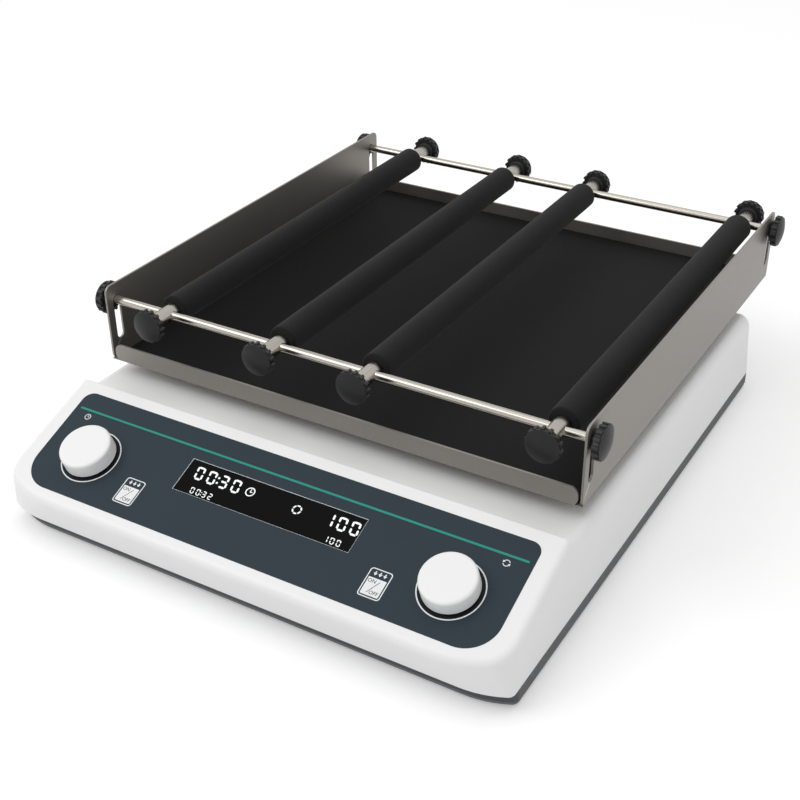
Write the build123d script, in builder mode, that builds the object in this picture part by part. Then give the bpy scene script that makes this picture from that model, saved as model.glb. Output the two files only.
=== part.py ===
from build123d import *
import os
from math import cos, radians, sin, sqrt, tan

# Bench orbital shaker, millimetres. +Z is up and the control panel faces -Y.
# The origin is on the bench, under the centre of the whole machine's footprint.

# Housing, seen from above
housing_width = 368.0
rim_depth = 409.5  # the dark base, front to back
front_arc_run = 30.0  # the front edge sweeps back over this width at each corner
front_arc_radius = 62.0
corner_radius = 5.0
nose_to_rim = 12.3  # the panel's nose stands this far in front of the dark base

# Housing, seen from the side
foot_stand = 2.0  # height of the underside over the bench
plate_thickness = 2.0
plate_inset = 0.6  # bottom plate's edge inside the base's edge
rim_height = 11.3  # dark band, from the underside to the white shell
chin_overhang = 6.2  # white shell's lower edge in front of the dark base
front_lean = 0.319  # forward travel of the front face for each unit of height
side_draft = 0.037  # inward travel of the side walls for each unit of height
back_draft = 0.052
top_corner_radius = 48.0  # plan radius of the front corners at the top of the loft
top_arc_run = 75.0
top_arc_radius = 150.0
back_corner_top = 12.5  # plan radius of the back corners at the top of the loft
loft_spare = 5.8  # the walls are lofted this far over the ridge, then cut by the panel and deck
deck_height = 63.2
deck_round = 8.0
shell_wall = 3.0
seat_thickness = 3.0  # inward flange that rests on the base's wall
panel_round = 5.0
ridge_round = 1.4
step_rise = 7.27  # ridge behind the panel, over the deck
step_run = 2.0  # the step leans back by this much
deck_under_panel = 12.0  # the deck's block runs this far in under the panel
shell_boss_diameter = 10.0
shell_boss_inset = 16.0
shell_boss_front = 35.0  # nose to the front bosses

# Control panel
panel_angle = 20.8
overlay_setback = 80.1  # nose to the overlay's upper edge, along Y
ridge_setback = 88.7  # nose to the ridge behind the panel, along Y
overlay_side_margin = 14.5  # housing's side to the overlay's end
overlay_length = 77.6
overlay_thickness = 0.8
overlay_proud = 0.15
overlay_front_radius = 21.0
overlay_rear_radius = 7.5
window_width = 129.8
window_length = 24.8
window_drop = 34.3  # overlay's upper edge to the window's centre
window_ledge = 2.0
window_gap = 0.1
display_depth = 6.0
display_margin = 5.0
display_post_diameter = 5.0
control_inset = 37.1  # overlay's end to the knob's centre
control_drop = 45.5
control_knob_diameter = 35.0
control_knob_height = 10.8
control_knob_lift = 1.5
control_knob_top = 2.5
control_knob_wall = 2.0
control_knob_round = 1.8
control_hub_diameter = 10.0
push_travel = 1.0
encoder_size = 14.0
encoder_depth = 9.0
encoder_floor = 1.0
bushing_diameter = 9.0
bushing_height = 4.0  # over the panel's outer face
bushing_gap = 0.15
nut_across_flats = 12.0
nut_thickness = 2.0
shaft_diameter = 6.0
plunger_length = 2.5
plunger_gap = 0.6
contact_gap = 0.2
running_gap = 0.05
board_thickness = 1.6

# Tray
tray_side_inset = 7.5  # housing's side to the tray's
tray_depth = 350.0
tray_lift = 10.4  # tray's underside over the deck
nose_to_tray_centre = 288.7
tray_sheet = 1.5
tray_wall_height = 55.0
tray_wall_round = 5.0
tray_bend_round = 1.3
lip_height = 13.0
lip_end_gap = 1.6
lip_end_round = 5.5
mat_thickness = 2.0
mat_gap = 1.8

# Rails, clamp bars and star knobs
rail_diameter = 6.0
rail_inset = 9.3  # tray edge to the rail's centre
rail_height = 42.9  # tray underside to the rail's centre
slot_gap = 0.3
slot_bottom = 13.6  # tray underside to the slot's lower end
bar_shares = [-0.3694, -0.1207, 0.0787, 0.4374]  # where the bars stand, as shares of the tray's width
bar_core_diameter = 8.0
sleeve_diameter = 11.0
sleeve_past_edge = 4.8  # sleeve's end in front of the tray's edge
foam_diameter = 20.0
foam_setback = 16.0  # tray edge to the foam's end
foam_round = 1.2
stud_diameter = 5.0
stud_length = 7.6
star_diameter = 22.8
star_face_gap = 0.3
star_hub_diameter = 13.0
star_hub_length = 2.6
star_grip_length = 4.0
star_cap_diameter = 21.6
star_cap_height = 2.9
star_cap_rim = 0.8
star_notch_count = 14
star_notch_width = 2.9
star_notch_depth = 1.3
star_bore_spare = 0.5
side_knob_gap = 0.5  # tray wall to the side knob
rail_thread_length = 7.6  # rail's length past the tray wall
edge_chamfer = 0.4

# Drive: crank, belt and motor
orbit_radius = 5.0
crank_shaft_diameter = 12.0
crank_pin_diameter = 10.0
crank_web_diameter = 40.0
crank_web_thickness = 5.0
web_gap = 1.0
counterweight_radius = 50.0
counterweight_ring = 4.0
counterweight_angle = 150.0
crank_bearing_outside = 32.0
crank_bearing_width = 10.0
hub_diameter = 44.0
hub_drop = 11.2  # deck's top to the hub's top
hub_bearing_outside = 26.0
hub_bearing_width = 8.0
bearing_shoulder = 3.0  # bearing's outer radius less the bore between its seats
bearing_groove = 0.5
bearing_race = 2.0
pulley_width = 10.0
pulley_flange = 0.7
pulley_flange_rise = 2.2
big_pulley_diameter = 84.0
big_pulley_hole = 16.0
big_pulley_hole_circle = 50.0
big_pulley_hole_count = 5
small_pulley_diameter = 28.0
pulley_lift = 2.0  # over the base floor
belt_thickness = 2.0
belt_gap = 0.3
motor_distance = 115.0
motor_diameter = 58.0
motor_drop = 10.2  # deck's top to the motor's top
motor_round = 3.0
motor_base_size = 62.0
motor_base_thickness = 3.0
motor_screw_spacing = 52.0
motor_shaft_diameter = 6.0
motor_shaft_hole = 14.0

# Idler cranks
idler_count = 3
idler_circle = 102.0
idler_pin_diameter = 8.0
idler_web_thickness = 6.0
idler_web_width = 16.0
idler_bearing_outside = 22.0
idler_bearing_width = 7.0
idler_post_diameter = 32.0
idler_web_gap = 0.5

# Frames
floor_thickness = 2.5
pan_wall = 3.0
frame_height = 20.0  # underside of the drive frame over the bench
frame_thickness = 5.0
frame_side_inset = 59.0  # housing's side to the drive frame's
frame_length = 272.0
frame_round = 10.0
frame_centre_shift = -16.0  # frame's centre from the crank, along Y
frame_post_diameter = 14.0
frame_post_inset = 12.0
carrier_inset = 44.0  # tray's edge to the carrier's
carrier_thickness = 5.0
carrier_round = 20.0
carrier_boss_depth = 5.0
carrier_boss_wall = 4.5
carrier_roof = 2.0  # metal left over the bearing seats
carrier_window = 44.0
carrier_window_circle = 82.0
pin_hole_gap = 2.5
pin_roof_gap = 0.5

# Fasteners and feet
screw_diameter = 4.0
screw_clearance = 0.3
screw_head_diameter = 7.5
screw_head_height = 1.4
screw_reach = 8.0  # thread in the part that a screw holds on to
tray_screw_diameter = 5.0
tray_screw_head = 9.2
tray_screw_length = 6.0
tray_screw_inset = 65.0  # tray's edge to its screws
foot_diameter = 26.0
foot_gap = 0.5
foot_inset = 34.0
foot_stem_diameter = 8.0
foot_stem_height = 4.5
foot_round = 0.8

# Back wall
back_centre_height = 37.0
inlet_inset = 39.0  # housing's side to the inlet's centre
inlet_width = 30.0
inlet_height = 22.0
inlet_flange = 4.0
inlet_flange_thickness = 2.0
inlet_depth = 24.0
inlet_cavity_width = 25.0
inlet_cavity_height = 17.0
inlet_cavity_depth = 17.0
inlet_pin_setback = 5.0
inlet_pin_width = 2.0
inlet_pin_height = 4.0
inlet_pin_spacing = 7.0
inlet_pin_drop = 1.5
cutout_gap = 0.2
switch_pitch = 45.0  # inlet's centre to the switch's
switch_wall = 2.0
switch_flange = 2.5
switch_depth = 14.0
rocker_width = 13.0
rocker_radius = 10.1
rocker_gap = 0.4
rocker_tilt = 11.0
rocker_pivot_depth = 3.5  # pivot's depth below the flange's face
rocker_proud = 1.0
rocker_pin_diameter = 3.0
rocker_pin_length = 1.4
vent_count = 11
vent_pitch = 7.0
vent_width = 2.8
vent_height = 24.0
vent_inset = 89.0  # housing's side to the middle of the vents

# Power supply and control boards
power_board_width = 120.0
power_board_length = 62.0
power_board_side = 32.0  # housing's side to the board
power_board_gap = 6.0  # drive frame to the board
power_post_height = 5.0
power_post_diameter = 6.0
power_post_inset = 6.0
transformer_size = (38.0, 32.0, 20.0)
capacitor_diameter = 14.0
capacitor_height = 20.0
capacitor_pitch = 18.0
capacitor_count = 3
heatsink_size = (34.0, 6.0, 20.0)
control_board_width = 188.0
control_board_length = 40.0
control_board_gap = 6.0  # display module to the control board
control_chip = 14.0
control_chip_height = 2.0
control_chip_pitch = 42.0
control_chip_count = 4

# Places that follow from the sizes above
star_length = star_hub_length + star_grip_length + star_cap_height
knob_reach = sleeve_past_edge + star_face_gap + star_length
overall_depth = nose_to_tray_centre + tray_depth / 2 + knob_reach
overlay_width = housing_width - 2 * overlay_side_margin
control_spacing = overlay_width - 2 * control_inset
tray_width = housing_width - 2 * tray_side_inset
bar_places = [share * tray_width for share in bar_shares]
frame_width = housing_width - 2 * frame_side_inset
inlet_place = inlet_inset - housing_width / 2
switch_place = inlet_place + switch_pitch
vent_place = housing_width / 2 - vent_inset
nose_y = -overall_depth / 2
rim_front_y = nose_y + nose_to_rim
rim_back_y = rim_front_y + rim_depth
rim_centre_y = rim_front_y + rim_depth / 2
chin_y = rim_front_y - chin_overhang
tray_centre_y = nose_y + nose_to_tray_centre
tray_front_y = tray_centre_y - tray_depth / 2
crank_y = tray_centre_y - orbit_radius
motor_y = crank_y - motor_distance
ridge_y = nose_y + ridge_setback
overlay_top_y = nose_y + overlay_setback
rim_top = foot_stand + rim_height
pan_underside = foot_stand + plate_thickness
pan_floor = pan_underside + floor_thickness
frame_top = frame_height + frame_thickness
panel_slope = tan(radians(panel_angle))
overlay_top_height = deck_height + step_rise - panel_slope * (ridge_y - overlay_top_y)
loft_height = deck_height + step_rise + loft_spare - rim_top
tray_underside = deck_height + tray_lift
hub_top = deck_height - hub_drop
motor_height = deck_height - motor_drop - frame_top
web_bottom = hub_top + web_gap
web_top = web_bottom + crank_web_thickness
idler_web_bottom = hub_top + idler_web_gap
idler_web_top = idler_web_bottom + idler_web_thickness
carrier_underside = tray_underside - carrier_thickness
boss_underside = carrier_underside - carrier_boss_depth
seat_top = tray_underside - carrier_roof
pin_top = seat_top - pin_roof_gap
pulley_bottom = pan_floor + pulley_lift
tray_floor_top = tray_underside + tray_sheet
rail_z = tray_underside + rail_height
slot_width = rail_diameter + 2 * slot_gap
frame_centre_y = crank_y + frame_centre_shift
power_board_x = (housing_width - power_board_width) / 2 - power_board_side
power_board_y = frame_centre_y - (frame_length + power_board_length) / 2 - power_board_gap
screw_hole = screw_diameter / 2 + screw_clearance / 2
crank_places = [(0, crank_y)]
idler_turns = [360 / idler_count * i for i in range(idler_count)]
idler_places = [
    (idler_circle * sin(radians(turn)), crank_y + idler_circle * cos(radians(turn))) for turn in idler_turns
]
rail_places = {"front": tray_front_y + rail_inset, "back": tray_front_y + tray_depth - rail_inset}
shell_boss_places = [
    (side * (housing_width / 2 - shell_boss_inset), y)
    for side in (-1, 1)
    for y in (nose_y + shell_boss_front, rim_centre_y, rim_back_y - shell_boss_inset)
]
foot_grid = (housing_width - 2 * foot_inset, rim_depth - 2 * foot_inset)
frame_grid = (frame_width - 2 * frame_post_inset, frame_length - 2 * frame_post_inset)
power_grid = (power_board_width - 2 * power_post_inset, power_board_length - 2 * power_post_inset)
tray_grid = (tray_width - 2 * tray_screw_inset, tray_depth - 2 * tray_screw_inset)
foot_plane = Plane((0, rim_centre_y, 0))
frame_plane = Plane((0, frame_centre_y, 0))
crank_plane = Plane((0, crank_y, 0))
tray_plane = Plane((0, tray_centre_y, 0))
motor_plane = Plane((0, motor_y, 0))
power_plane = Plane((power_board_x, power_board_y, 0))

# The panel's plane starts at the middle of the overlay's upper edge, and its y runs up the slope
panel_normal = (0, -sin(radians(panel_angle)), cos(radians(panel_angle)))
panel_plane = Plane((0, overlay_top_y, overlay_top_height), x_dir=(1, 0, 0), z_dir=panel_normal)
window_middle = panel_plane.from_local_coords((0, -window_drop, 0))
window_plane = Plane(window_middle, x_dir=(1, 0, 0), z_dir=panel_normal)
control_planes = {
    name: Plane(
        panel_plane.from_local_coords((side * control_spacing / 2, -control_drop, 0)),
        x_dir=(1, 0, 0),
        z_dir=panel_normal,
    )
    for name, side in (("left", -1), ("right", 1))
}

# The back wall's plane, at the height of the power inlet, looking out of the machine
back_y = rim_back_y - back_draft * (back_centre_height - rim_top)
back_plane = Plane((0, back_y, back_centre_height), x_dir=(-1, 0, 0), z_dir=(0, 1, back_draft))

os.makedirs("parts", exist_ok=True)


def panel_height(y):
    return overlay_top_height + panel_slope * (y - overlay_top_y)


def save(block, name):
    block.part.label = name
    export_step(block.part, f"parts/{name}.step")


def plan_outline(front, back, half_width, arc_run, arc_radius, front_corner, back_corner):
    sweep = arc_radius - sqrt(arc_radius**2 - arc_run**2)
    start = half_width - arc_run
    middle = start + arc_run / 2
    middle_sweep = arc_radius - sqrt(arc_radius**2 - (arc_run / 2) ** 2)
    with BuildSketch() as outline:
        with BuildLine():
            Line((-start, front), (start, front))
            ThreePointArc((start, front), (middle, front + middle_sweep), (half_width, front + sweep))
            Line((half_width, front + sweep), (half_width, back))
            Line((half_width, back), (-half_width, back))
            Line((-half_width, back), (-half_width, front + sweep))
            ThreePointArc((-half_width, front + sweep), (-middle, front + middle_sweep), (-start, front))
        make_face()
        fillet(outline.vertices().group_by(Axis.Y)[-1], back_corner)
        fillet(outline.vertices().group_by(Axis.Y)[1], front_corner)
    return outline.sketch


def rim_outline(inset):
    return plan_outline(
        rim_front_y + inset,
        rim_back_y - inset,
        housing_width / 2 - inset,
        front_arc_run,
        front_arc_radius,
        corner_radius - inset / 2,
        corner_radius - inset / 2,
    )


# The white shell's outside, and its hollow, are the same form with another inset
def shell_walls(inset):
    with BuildPart() as walls:
        with BuildSketch(Plane.XY.offset(rim_top)):
            add(
                plan_outline(
                    chin_y + inset,
                    rim_back_y - inset,
                    housing_width / 2 - inset,
                    front_arc_run,
                    front_arc_radius,
                    corner_radius - inset / 2,
                    corner_radius - inset / 2,
                )
            )
        with BuildSketch(Plane.XY.offset(rim_top + loft_height)):
            add(
                plan_outline(
                    chin_y - front_lean * loft_height + inset,
                    rim_back_y - back_draft * loft_height - inset,
                    housing_width / 2 - side_draft * loft_height - inset,
                    top_arc_run,
                    top_arc_radius,
                    top_corner_radius - inset,
                    back_corner_top - inset,
                )
            )
        loft(ruled=True)
    return walls.part


def shell_block(inset):
    walls = shell_walls(inset)
    drop = inset / cos(radians(panel_angle))
    deck_top = deck_height - inset
    step_y = ridge_y - inset
    front_y = nose_y - nose_to_rim
    with BuildPart() as deck_block:
        add(walls)
        with BuildSketch(Plane.YZ):
            with Locations((step_y - deck_under_panel, rim_top)):
                Rectangle(rim_depth, deck_top - rim_top, align=Align.MIN)
        extrude(amount=housing_width, both=True, mode=Mode.INTERSECT)
        deck = deck_block.faces().sort_by(Axis.Z)[-1]
        fillet(deck.edges().filter_by(lambda edge: edge.center().Y > ridge_y), deck_round - inset)
    with BuildPart() as wedge:
        add(walls)
        with BuildSketch(Plane.YZ):
            with BuildLine():
                Polyline(
                    (step_y + step_run, rim_top),
                    (step_y + step_run, deck_top - step_run / 2),
                    (step_y, panel_height(step_y) - drop),
                    (front_y, panel_height(front_y) - drop),
                    (front_y, rim_top),
                    close=True,
                )
            make_face()
        extrude(amount=housing_width, both=True, mode=Mode.INTERSECT)
        slope = wedge.faces().filter_by(lambda face: abs(face.normal_at().Z - panel_normal[2]) < 0.001)[0]
        fillet(slope.edges().filter_by(lambda edge: edge.center().Y < step_y - step_run), panel_round - inset)
    with BuildPart() as block:
        add(deck_block.part)
        add(wedge.part)
    return block.part


# Top shell: the white cover with the sloping panel in front and the flat deck behind it
shell_outside = shell_block(0)
shell_hollow = shell_block(shell_wall)

with BuildPart() as shell_cavity:
    add(shell_hollow)
    with BuildSketch(Plane.XY.offset(rim_top + seat_thickness)):
        Rectangle(2 * housing_width, 2 * rim_depth)
    extrude(amount=loft_height, mode=Mode.INTERSECT)
    with BuildSketch(Plane.XY.offset(rim_top)):
        add(rim_outline(pan_wall))
    extrude(amount=seat_thickness)

with BuildPart() as shell_bosses:
    with BuildSketch(Plane.XY.offset(pan_floor)):
        with Locations(*shell_boss_places):
            Circle(shell_boss_diameter / 2)
    extrude(amount=loft_height)
    add(shell_outside, mode=Mode.INTERSECT)
    with BuildSketch(Plane.XY.offset(pan_floor)):
        with Locations(*shell_boss_places):
            Circle(shell_boss_diameter / 2)
    extrude(amount=rim_top - pan_floor + seat_thickness)
    with BuildSketch(Plane.XY.offset(pan_floor)):
        with Locations(*shell_boss_places):
            Circle(screw_diameter / 2)
    extrude(amount=screw_reach, mode=Mode.SUBTRACT)

with BuildPart() as top_shell:
    add(shell_outside)
    fillet(top_shell.edges().filter_by(Axis.X).sort_by(Axis.Z)[-1], ridge_round)
    add(shell_cavity.part, mode=Mode.SUBTRACT)
    add(shell_bosses.part)
    # recess for the overlay, and the openings behind the window and round the knobs' bushings
    with BuildSketch(panel_plane.offset(overlay_proud - overlay_thickness)) as recess:
        with Locations((0, -overlay_length / 2)):
            Rectangle(overlay_width, overlay_length)
        fillet(recess.vertices().group_by(Axis.Y)[0], overlay_front_radius)
        fillet(recess.vertices().group_by(Axis.Y)[-1], overlay_rear_radius)
    extrude(amount=overlay_thickness, mode=Mode.SUBTRACT)
    with BuildSketch(window_plane):
        Rectangle(window_width - 2 * window_ledge, window_length - 2 * window_ledge)
    extrude(amount=2 * shell_wall, both=True, mode=Mode.SUBTRACT)
    with BuildSketch(*control_planes.values()):
        Circle(bushing_diameter / 2 + bushing_gap)
    extrude(amount=2 * shell_wall, both=True, mode=Mode.SUBTRACT)
    # the crank pins' holes in the deck
    with BuildSketch(Plane.XY.offset(deck_height)):
        with Locations(*crank_places):
            Circle(crank_pin_diameter / 2 + orbit_radius + pin_hole_gap)
        with Locations(*idler_places):
            Circle(idler_pin_diameter / 2 + orbit_radius + pin_hole_gap)
    extrude(amount=-2 * shell_wall, mode=Mode.SUBTRACT)
    # back wall: mains inlet, power switch and vents
    with BuildSketch(back_plane):
        with Locations((-inlet_place, 0)):
            Rectangle(inlet_width + 2 * cutout_gap, inlet_height + 2 * cutout_gap)
        with Locations((-switch_place, 0)):
            Rectangle(
                rocker_width + 2 * (rocker_gap + switch_wall + cutout_gap),
                2 * (rocker_radius + rocker_gap + switch_wall + cutout_gap),
            )
        with Locations((-vent_place, 0)):
            with GridLocations(vent_pitch, vent_pitch, vent_count, 1):
                SlotOverall(vent_height, vent_width, rotation=90)
    extrude(amount=2 * shell_wall, both=True, mode=Mode.SUBTRACT)
save(top_shell, "top_shell")

# Base pan: the dark rim with the floor that everything stands on
with BuildPart() as base_pan:
    with BuildSketch(Plane.XY.offset(pan_underside)):
        add(rim_outline(0))
    extrude(amount=rim_top - pan_underside)
    chamfer(base_pan.edges().group_by(Axis.Z)[0], edge_chamfer)
    with BuildSketch(Plane.XY.offset(pan_floor)):
        add(rim_outline(pan_wall))
    extrude(amount=rim_height, mode=Mode.SUBTRACT)
    with BuildSketch(frame_plane.offset(pan_floor)):
        with GridLocations(*frame_grid, 2, 2):
            Circle(frame_post_diameter / 2)
            Circle(screw_diameter / 2, mode=Mode.SUBTRACT)
    extrude(amount=frame_height - pan_floor)
    with BuildSketch(power_plane.offset(pan_floor)):
        with GridLocations(*power_grid, 2, 2):
            Circle(power_post_diameter / 2)
    extrude(amount=power_post_height)
    with BuildSketch(Plane.XY.offset(pan_underside)):
        with Locations(*shell_boss_places):
            Circle(screw_hole)
    extrude(amount=floor_thickness, mode=Mode.SUBTRACT)
    with BuildSketch(foot_plane.offset(pan_underside)):
        with GridLocations(*foot_grid, 2, 2):
            Circle(foot_stem_diameter / 2)
    extrude(amount=floor_thickness, mode=Mode.SUBTRACT)
save(base_pan, "base_pan")

# Bottom plate: steel, under the pan, held by the shell's screws
with BuildPart() as bottom_plate:
    with BuildSketch(Plane.XY.offset(foot_stand)):
        add(rim_outline(plate_inset))
        with Locations(*shell_boss_places):
            Circle(screw_hole, mode=Mode.SUBTRACT)
    extrude(amount=plate_thickness)
    with BuildSketch(foot_plane.offset(foot_stand)):
        with GridLocations(*foot_grid, 2, 2):
            Circle(foot_diameter / 2 + foot_gap)
    extrude(amount=plate_thickness, mode=Mode.SUBTRACT)
save(bottom_plate, "bottom_plate")

# Rubber feet: a disc under the pan with a stem pushed up through its floor
with BuildPart() as rubber_feet:
    with BuildSketch(foot_plane):
        with GridLocations(*foot_grid, 2, 2):
            Circle(foot_diameter / 2)
    extrude(amount=pan_underside)
    fillet(rubber_feet.edges().group_by(Axis.Z)[0], foot_round)
    with BuildSketch(foot_plane.offset(pan_underside)):
        with GridLocations(*foot_grid, 2, 2):
            Circle(foot_stem_diameter / 2)
    extrude(amount=foot_stem_height)
save(rubber_feet, "rubber_feet")

# Panel overlay: the dark film with its window and knob openings
with BuildPart() as panel_overlay:
    with BuildSketch(panel_plane.offset(overlay_proud - overlay_thickness)) as film:
        with Locations((0, -overlay_length / 2)):
            Rectangle(overlay_width, overlay_length)
        fillet(film.vertices().group_by(Axis.Y)[0], overlay_front_radius)
        fillet(film.vertices().group_by(Axis.Y)[-1], overlay_rear_radius)
        with Locations((0, -window_drop)):
            Rectangle(window_width + 2 * window_gap, window_length + 2 * window_gap, mode=Mode.SUBTRACT)
        with Locations((-control_spacing / 2, -control_drop), (control_spacing / 2, -control_drop)):
            Circle(bushing_diameter / 2 + bushing_gap, mode=Mode.SUBTRACT)
    extrude(amount=overlay_thickness)
save(panel_overlay, "panel_overlay")

# Display window: the clear lens that fills the overlay's opening
with BuildPart() as display_window:
    with BuildSketch(window_plane.offset(overlay_proud - overlay_thickness)):
        Rectangle(window_width, window_length)
    extrude(amount=overlay_thickness)
save(display_window, "display_window")

# Display module: a raised screen behind the lens, its body, and posts down to the control board
display_back = shell_wall + display_depth
screen_inset = window_ledge + cutout_gap
with BuildPart() as display_module:
    with BuildSketch(window_plane.offset(-display_back)):
        Rectangle(window_width + 2 * display_margin, window_length + 2 * display_margin)
    extrude(amount=display_depth)
    with BuildSketch(window_plane.offset(-shell_wall)):
        Rectangle(window_width - 2 * screen_inset, window_length - 2 * screen_inset)
    extrude(amount=shell_wall - overlay_thickness + overlay_proud)
    with BuildSketch(window_plane.offset(-display_back)):
        with GridLocations(window_width, window_length, 2, 2):
            Circle(display_post_diameter / 2)
    extrude(amount=-control_board_gap)
save(display_module, "display_module")

# Control board, hung from the display module
board_top = display_back + control_board_gap
with BuildPart() as control_board:
    with BuildSketch(window_plane.offset(-board_top)):
        Rectangle(control_board_width, control_board_length)
    extrude(amount=-board_thickness)
    with BuildSketch(window_plane.offset(-board_top - board_thickness)):
        with GridLocations(control_chip_pitch, control_chip_pitch, control_chip_count, 1):
            Rectangle(control_chip, control_chip)
    extrude(amount=-control_chip_height)
save(control_board, "control_board")

# Power supply board with its transformer, capacitors and heat sink
power_top = pan_floor + power_post_height + board_thickness
with BuildPart() as power_board:
    with BuildSketch(power_plane.offset(pan_floor + power_post_height)):
        Rectangle(power_board_width, power_board_length)
    extrude(amount=board_thickness)
    with BuildSketch(power_plane.offset(power_top)):
        with Locations((-power_board_width / 4, 0)):
            Rectangle(transformer_size[0], transformer_size[1])
    extrude(amount=transformer_size[2])
    with BuildSketch(power_plane.offset(power_top)):
        with Locations((power_board_width / 4, -power_board_length / 4)):
            with GridLocations(capacitor_pitch, capacitor_pitch, capacitor_count, 1):
                Circle(capacitor_diameter / 2)
    extrude(amount=capacitor_height)
    with BuildSketch(power_plane.offset(power_top)):
        with Locations((power_board_width / 4, power_board_length / 4)):
            Rectangle(heatsink_size[0], heatsink_size[1])
    extrude(amount=heatsink_size[2])
save(power_board, "power_board")

# Drive frame: one casting with the crank's hub and the idlers' posts
with BuildPart() as drive_frame:
    with BuildSketch(frame_plane.offset(frame_height)):
        RectangleRounded(frame_width, frame_length, frame_round)
        with GridLocations(*frame_grid, 2, 2):
            Circle(screw_hole, mode=Mode.SUBTRACT)
    extrude(amount=frame_thickness)
    with BuildSketch(Plane.XY.offset(frame_height)):
        with Locations(*crank_places):
            Circle(hub_diameter / 2)
        with Locations(*idler_places):
            Circle(idler_post_diameter / 2)
    extrude(amount=hub_top - frame_height)
    with BuildSketch(Plane.XY.offset(frame_height)):
        with Locations(*crank_places):
            Circle(crank_bearing_outside / 2 - bearing_shoulder)
        with Locations(*idler_places):
            Circle(idler_bearing_outside / 2 - bearing_shoulder)
    extrude(amount=hub_top - frame_height, mode=Mode.SUBTRACT)
    for places, outside, width in (
        (crank_places, crank_bearing_outside, crank_bearing_width),
        (idler_places, idler_bearing_outside, idler_bearing_width),
    ):
        with BuildSketch(Plane.XY.offset(frame_height), Plane.XY.offset(hub_top - width)):
            with Locations(*places):
                Circle(outside / 2)
        extrude(amount=width, mode=Mode.SUBTRACT)
    with BuildSketch(motor_plane.offset(frame_height)):
        Circle(motor_shaft_hole / 2)
        with GridLocations(motor_screw_spacing, motor_screw_spacing, 2, 2):
            Circle(screw_diameter / 2)
    extrude(amount=frame_thickness, mode=Mode.SUBTRACT)
save(drive_frame, "drive_frame")


def bearing_section(bore, outside, width):
    # half section of a shielded bearing, with a shallow groove in each face
    wall = (outside - bore) / 2
    groove_start = bore / 2 + bearing_race
    with BuildSketch(Plane.XZ) as section:
        with Locations((bore / 2, 0)):
            Rectangle(wall, width, align=Align.MIN)
        with Locations((groove_start, 0), (groove_start, width - bearing_groove)):
            Rectangle(wall - 2 * bearing_race, bearing_groove, align=Align.MIN, mode=Mode.SUBTRACT)
    return section.sketch


def ring_bearing(bore, outside, width):
    with BuildPart() as bearing:
        add(bearing_section(bore, outside, width))
        revolve(axis=Axis.Z)
    return bearing.part


crank_bearing = ring_bearing(
    crank_shaft_diameter + 2 * running_gap, crank_bearing_outside, crank_bearing_width
)
idler_bearing = ring_bearing(idler_pin_diameter + 2 * running_gap, idler_bearing_outside, idler_bearing_width)
hub_bearing = ring_bearing(crank_pin_diameter + 2 * running_gap, hub_bearing_outside, hub_bearing_width)

# Bearings pressed into the drive frame: two under the crank and two under each idler
with BuildPart() as frame_bearings:
    for x, y in crank_places:
        with Locations((x, y, frame_height), (x, y, hub_top - crank_bearing_width)):
            add(crank_bearing)
    for x, y in idler_places:
        with Locations((x, y, frame_height), (x, y, hub_top - idler_bearing_width)):
            add(idler_bearing)
save(frame_bearings, "frame_bearings")

# Crank: the driven shaft, its web and the eccentric pin that carries the platform
with BuildPart() as crank_shaft:
    with BuildSketch(crank_plane.offset(pulley_bottom)):
        Circle(crank_shaft_diameter / 2)
    extrude(amount=web_bottom - pulley_bottom)
    chamfer(crank_shaft.edges().group_by(Axis.Z)[0], edge_chamfer)
    with BuildSketch(crank_plane.offset(web_bottom)):
        Circle(crank_web_diameter / 2)
    extrude(amount=crank_web_thickness)
    with BuildSketch(crank_plane.offset(web_top)):
        with Locations((0, orbit_radius)):
            Circle(crank_pin_diameter / 2)
    extrude(amount=pin_top - web_top)
    chamfer(crank_shaft.edges().group_by(Axis.Z)[-1], edge_chamfer)
save(crank_shaft, "crank_shaft")

# Counterweight: a ring round the web with a heavy sector opposite the pin
with BuildPart() as counterweight:
    with BuildSketch(crank_plane.offset(web_bottom)):
        with BuildLine():
            CenterArc((0, 0), counterweight_radius, -90 - counterweight_angle / 2, counterweight_angle)
            Line((0, 0), counterweight_radius * Vector(1, 0).rotate(Axis.Z, -90 - counterweight_angle / 2))
            Line((0, 0), counterweight_radius * Vector(1, 0).rotate(Axis.Z, -90 + counterweight_angle / 2))
        make_face()
        Circle(crank_web_diameter / 2 + counterweight_ring)
        Circle(crank_web_diameter / 2, mode=Mode.SUBTRACT)
    extrude(amount=crank_web_thickness)
save(counterweight, "counterweight")


def pulley_section(bore, outside):
    # half section of a flat pulley with a thin flange at each end
    with BuildSketch(Plane.XZ) as section:
        with Locations((bore / 2, 0)):
            Rectangle((outside - bore) / 2, pulley_width, align=Align.MIN)
        with Locations((bore / 2, 0), (bore / 2, pulley_width - pulley_flange)):
            Rectangle((outside - bore) / 2 + pulley_flange_rise, pulley_flange, align=Align.MIN)
    return section.sketch


with BuildPart() as big_pulley_form:
    add(pulley_section(crank_shaft_diameter, big_pulley_diameter))
    revolve(axis=Axis.Z)
    with BuildSketch():
        with PolarLocations(big_pulley_hole_circle / 2, big_pulley_hole_count):
            Circle(big_pulley_hole / 2)
    extrude(amount=pulley_width, mode=Mode.SUBTRACT)

with BuildPart() as small_pulley_form:
    add(pulley_section(motor_shaft_diameter, small_pulley_diameter))
    revolve(axis=Axis.Z)

with BuildPart() as crank_pulley:
    with Locations((0, crank_y, pulley_bottom)):
        add(big_pulley_form.part)
save(crank_pulley, "crank_pulley")

with BuildPart() as motor_pulley:
    with Locations((0, motor_y, pulley_bottom)):
        add(small_pulley_form.part)
save(motor_pulley, "motor_pulley")

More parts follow.
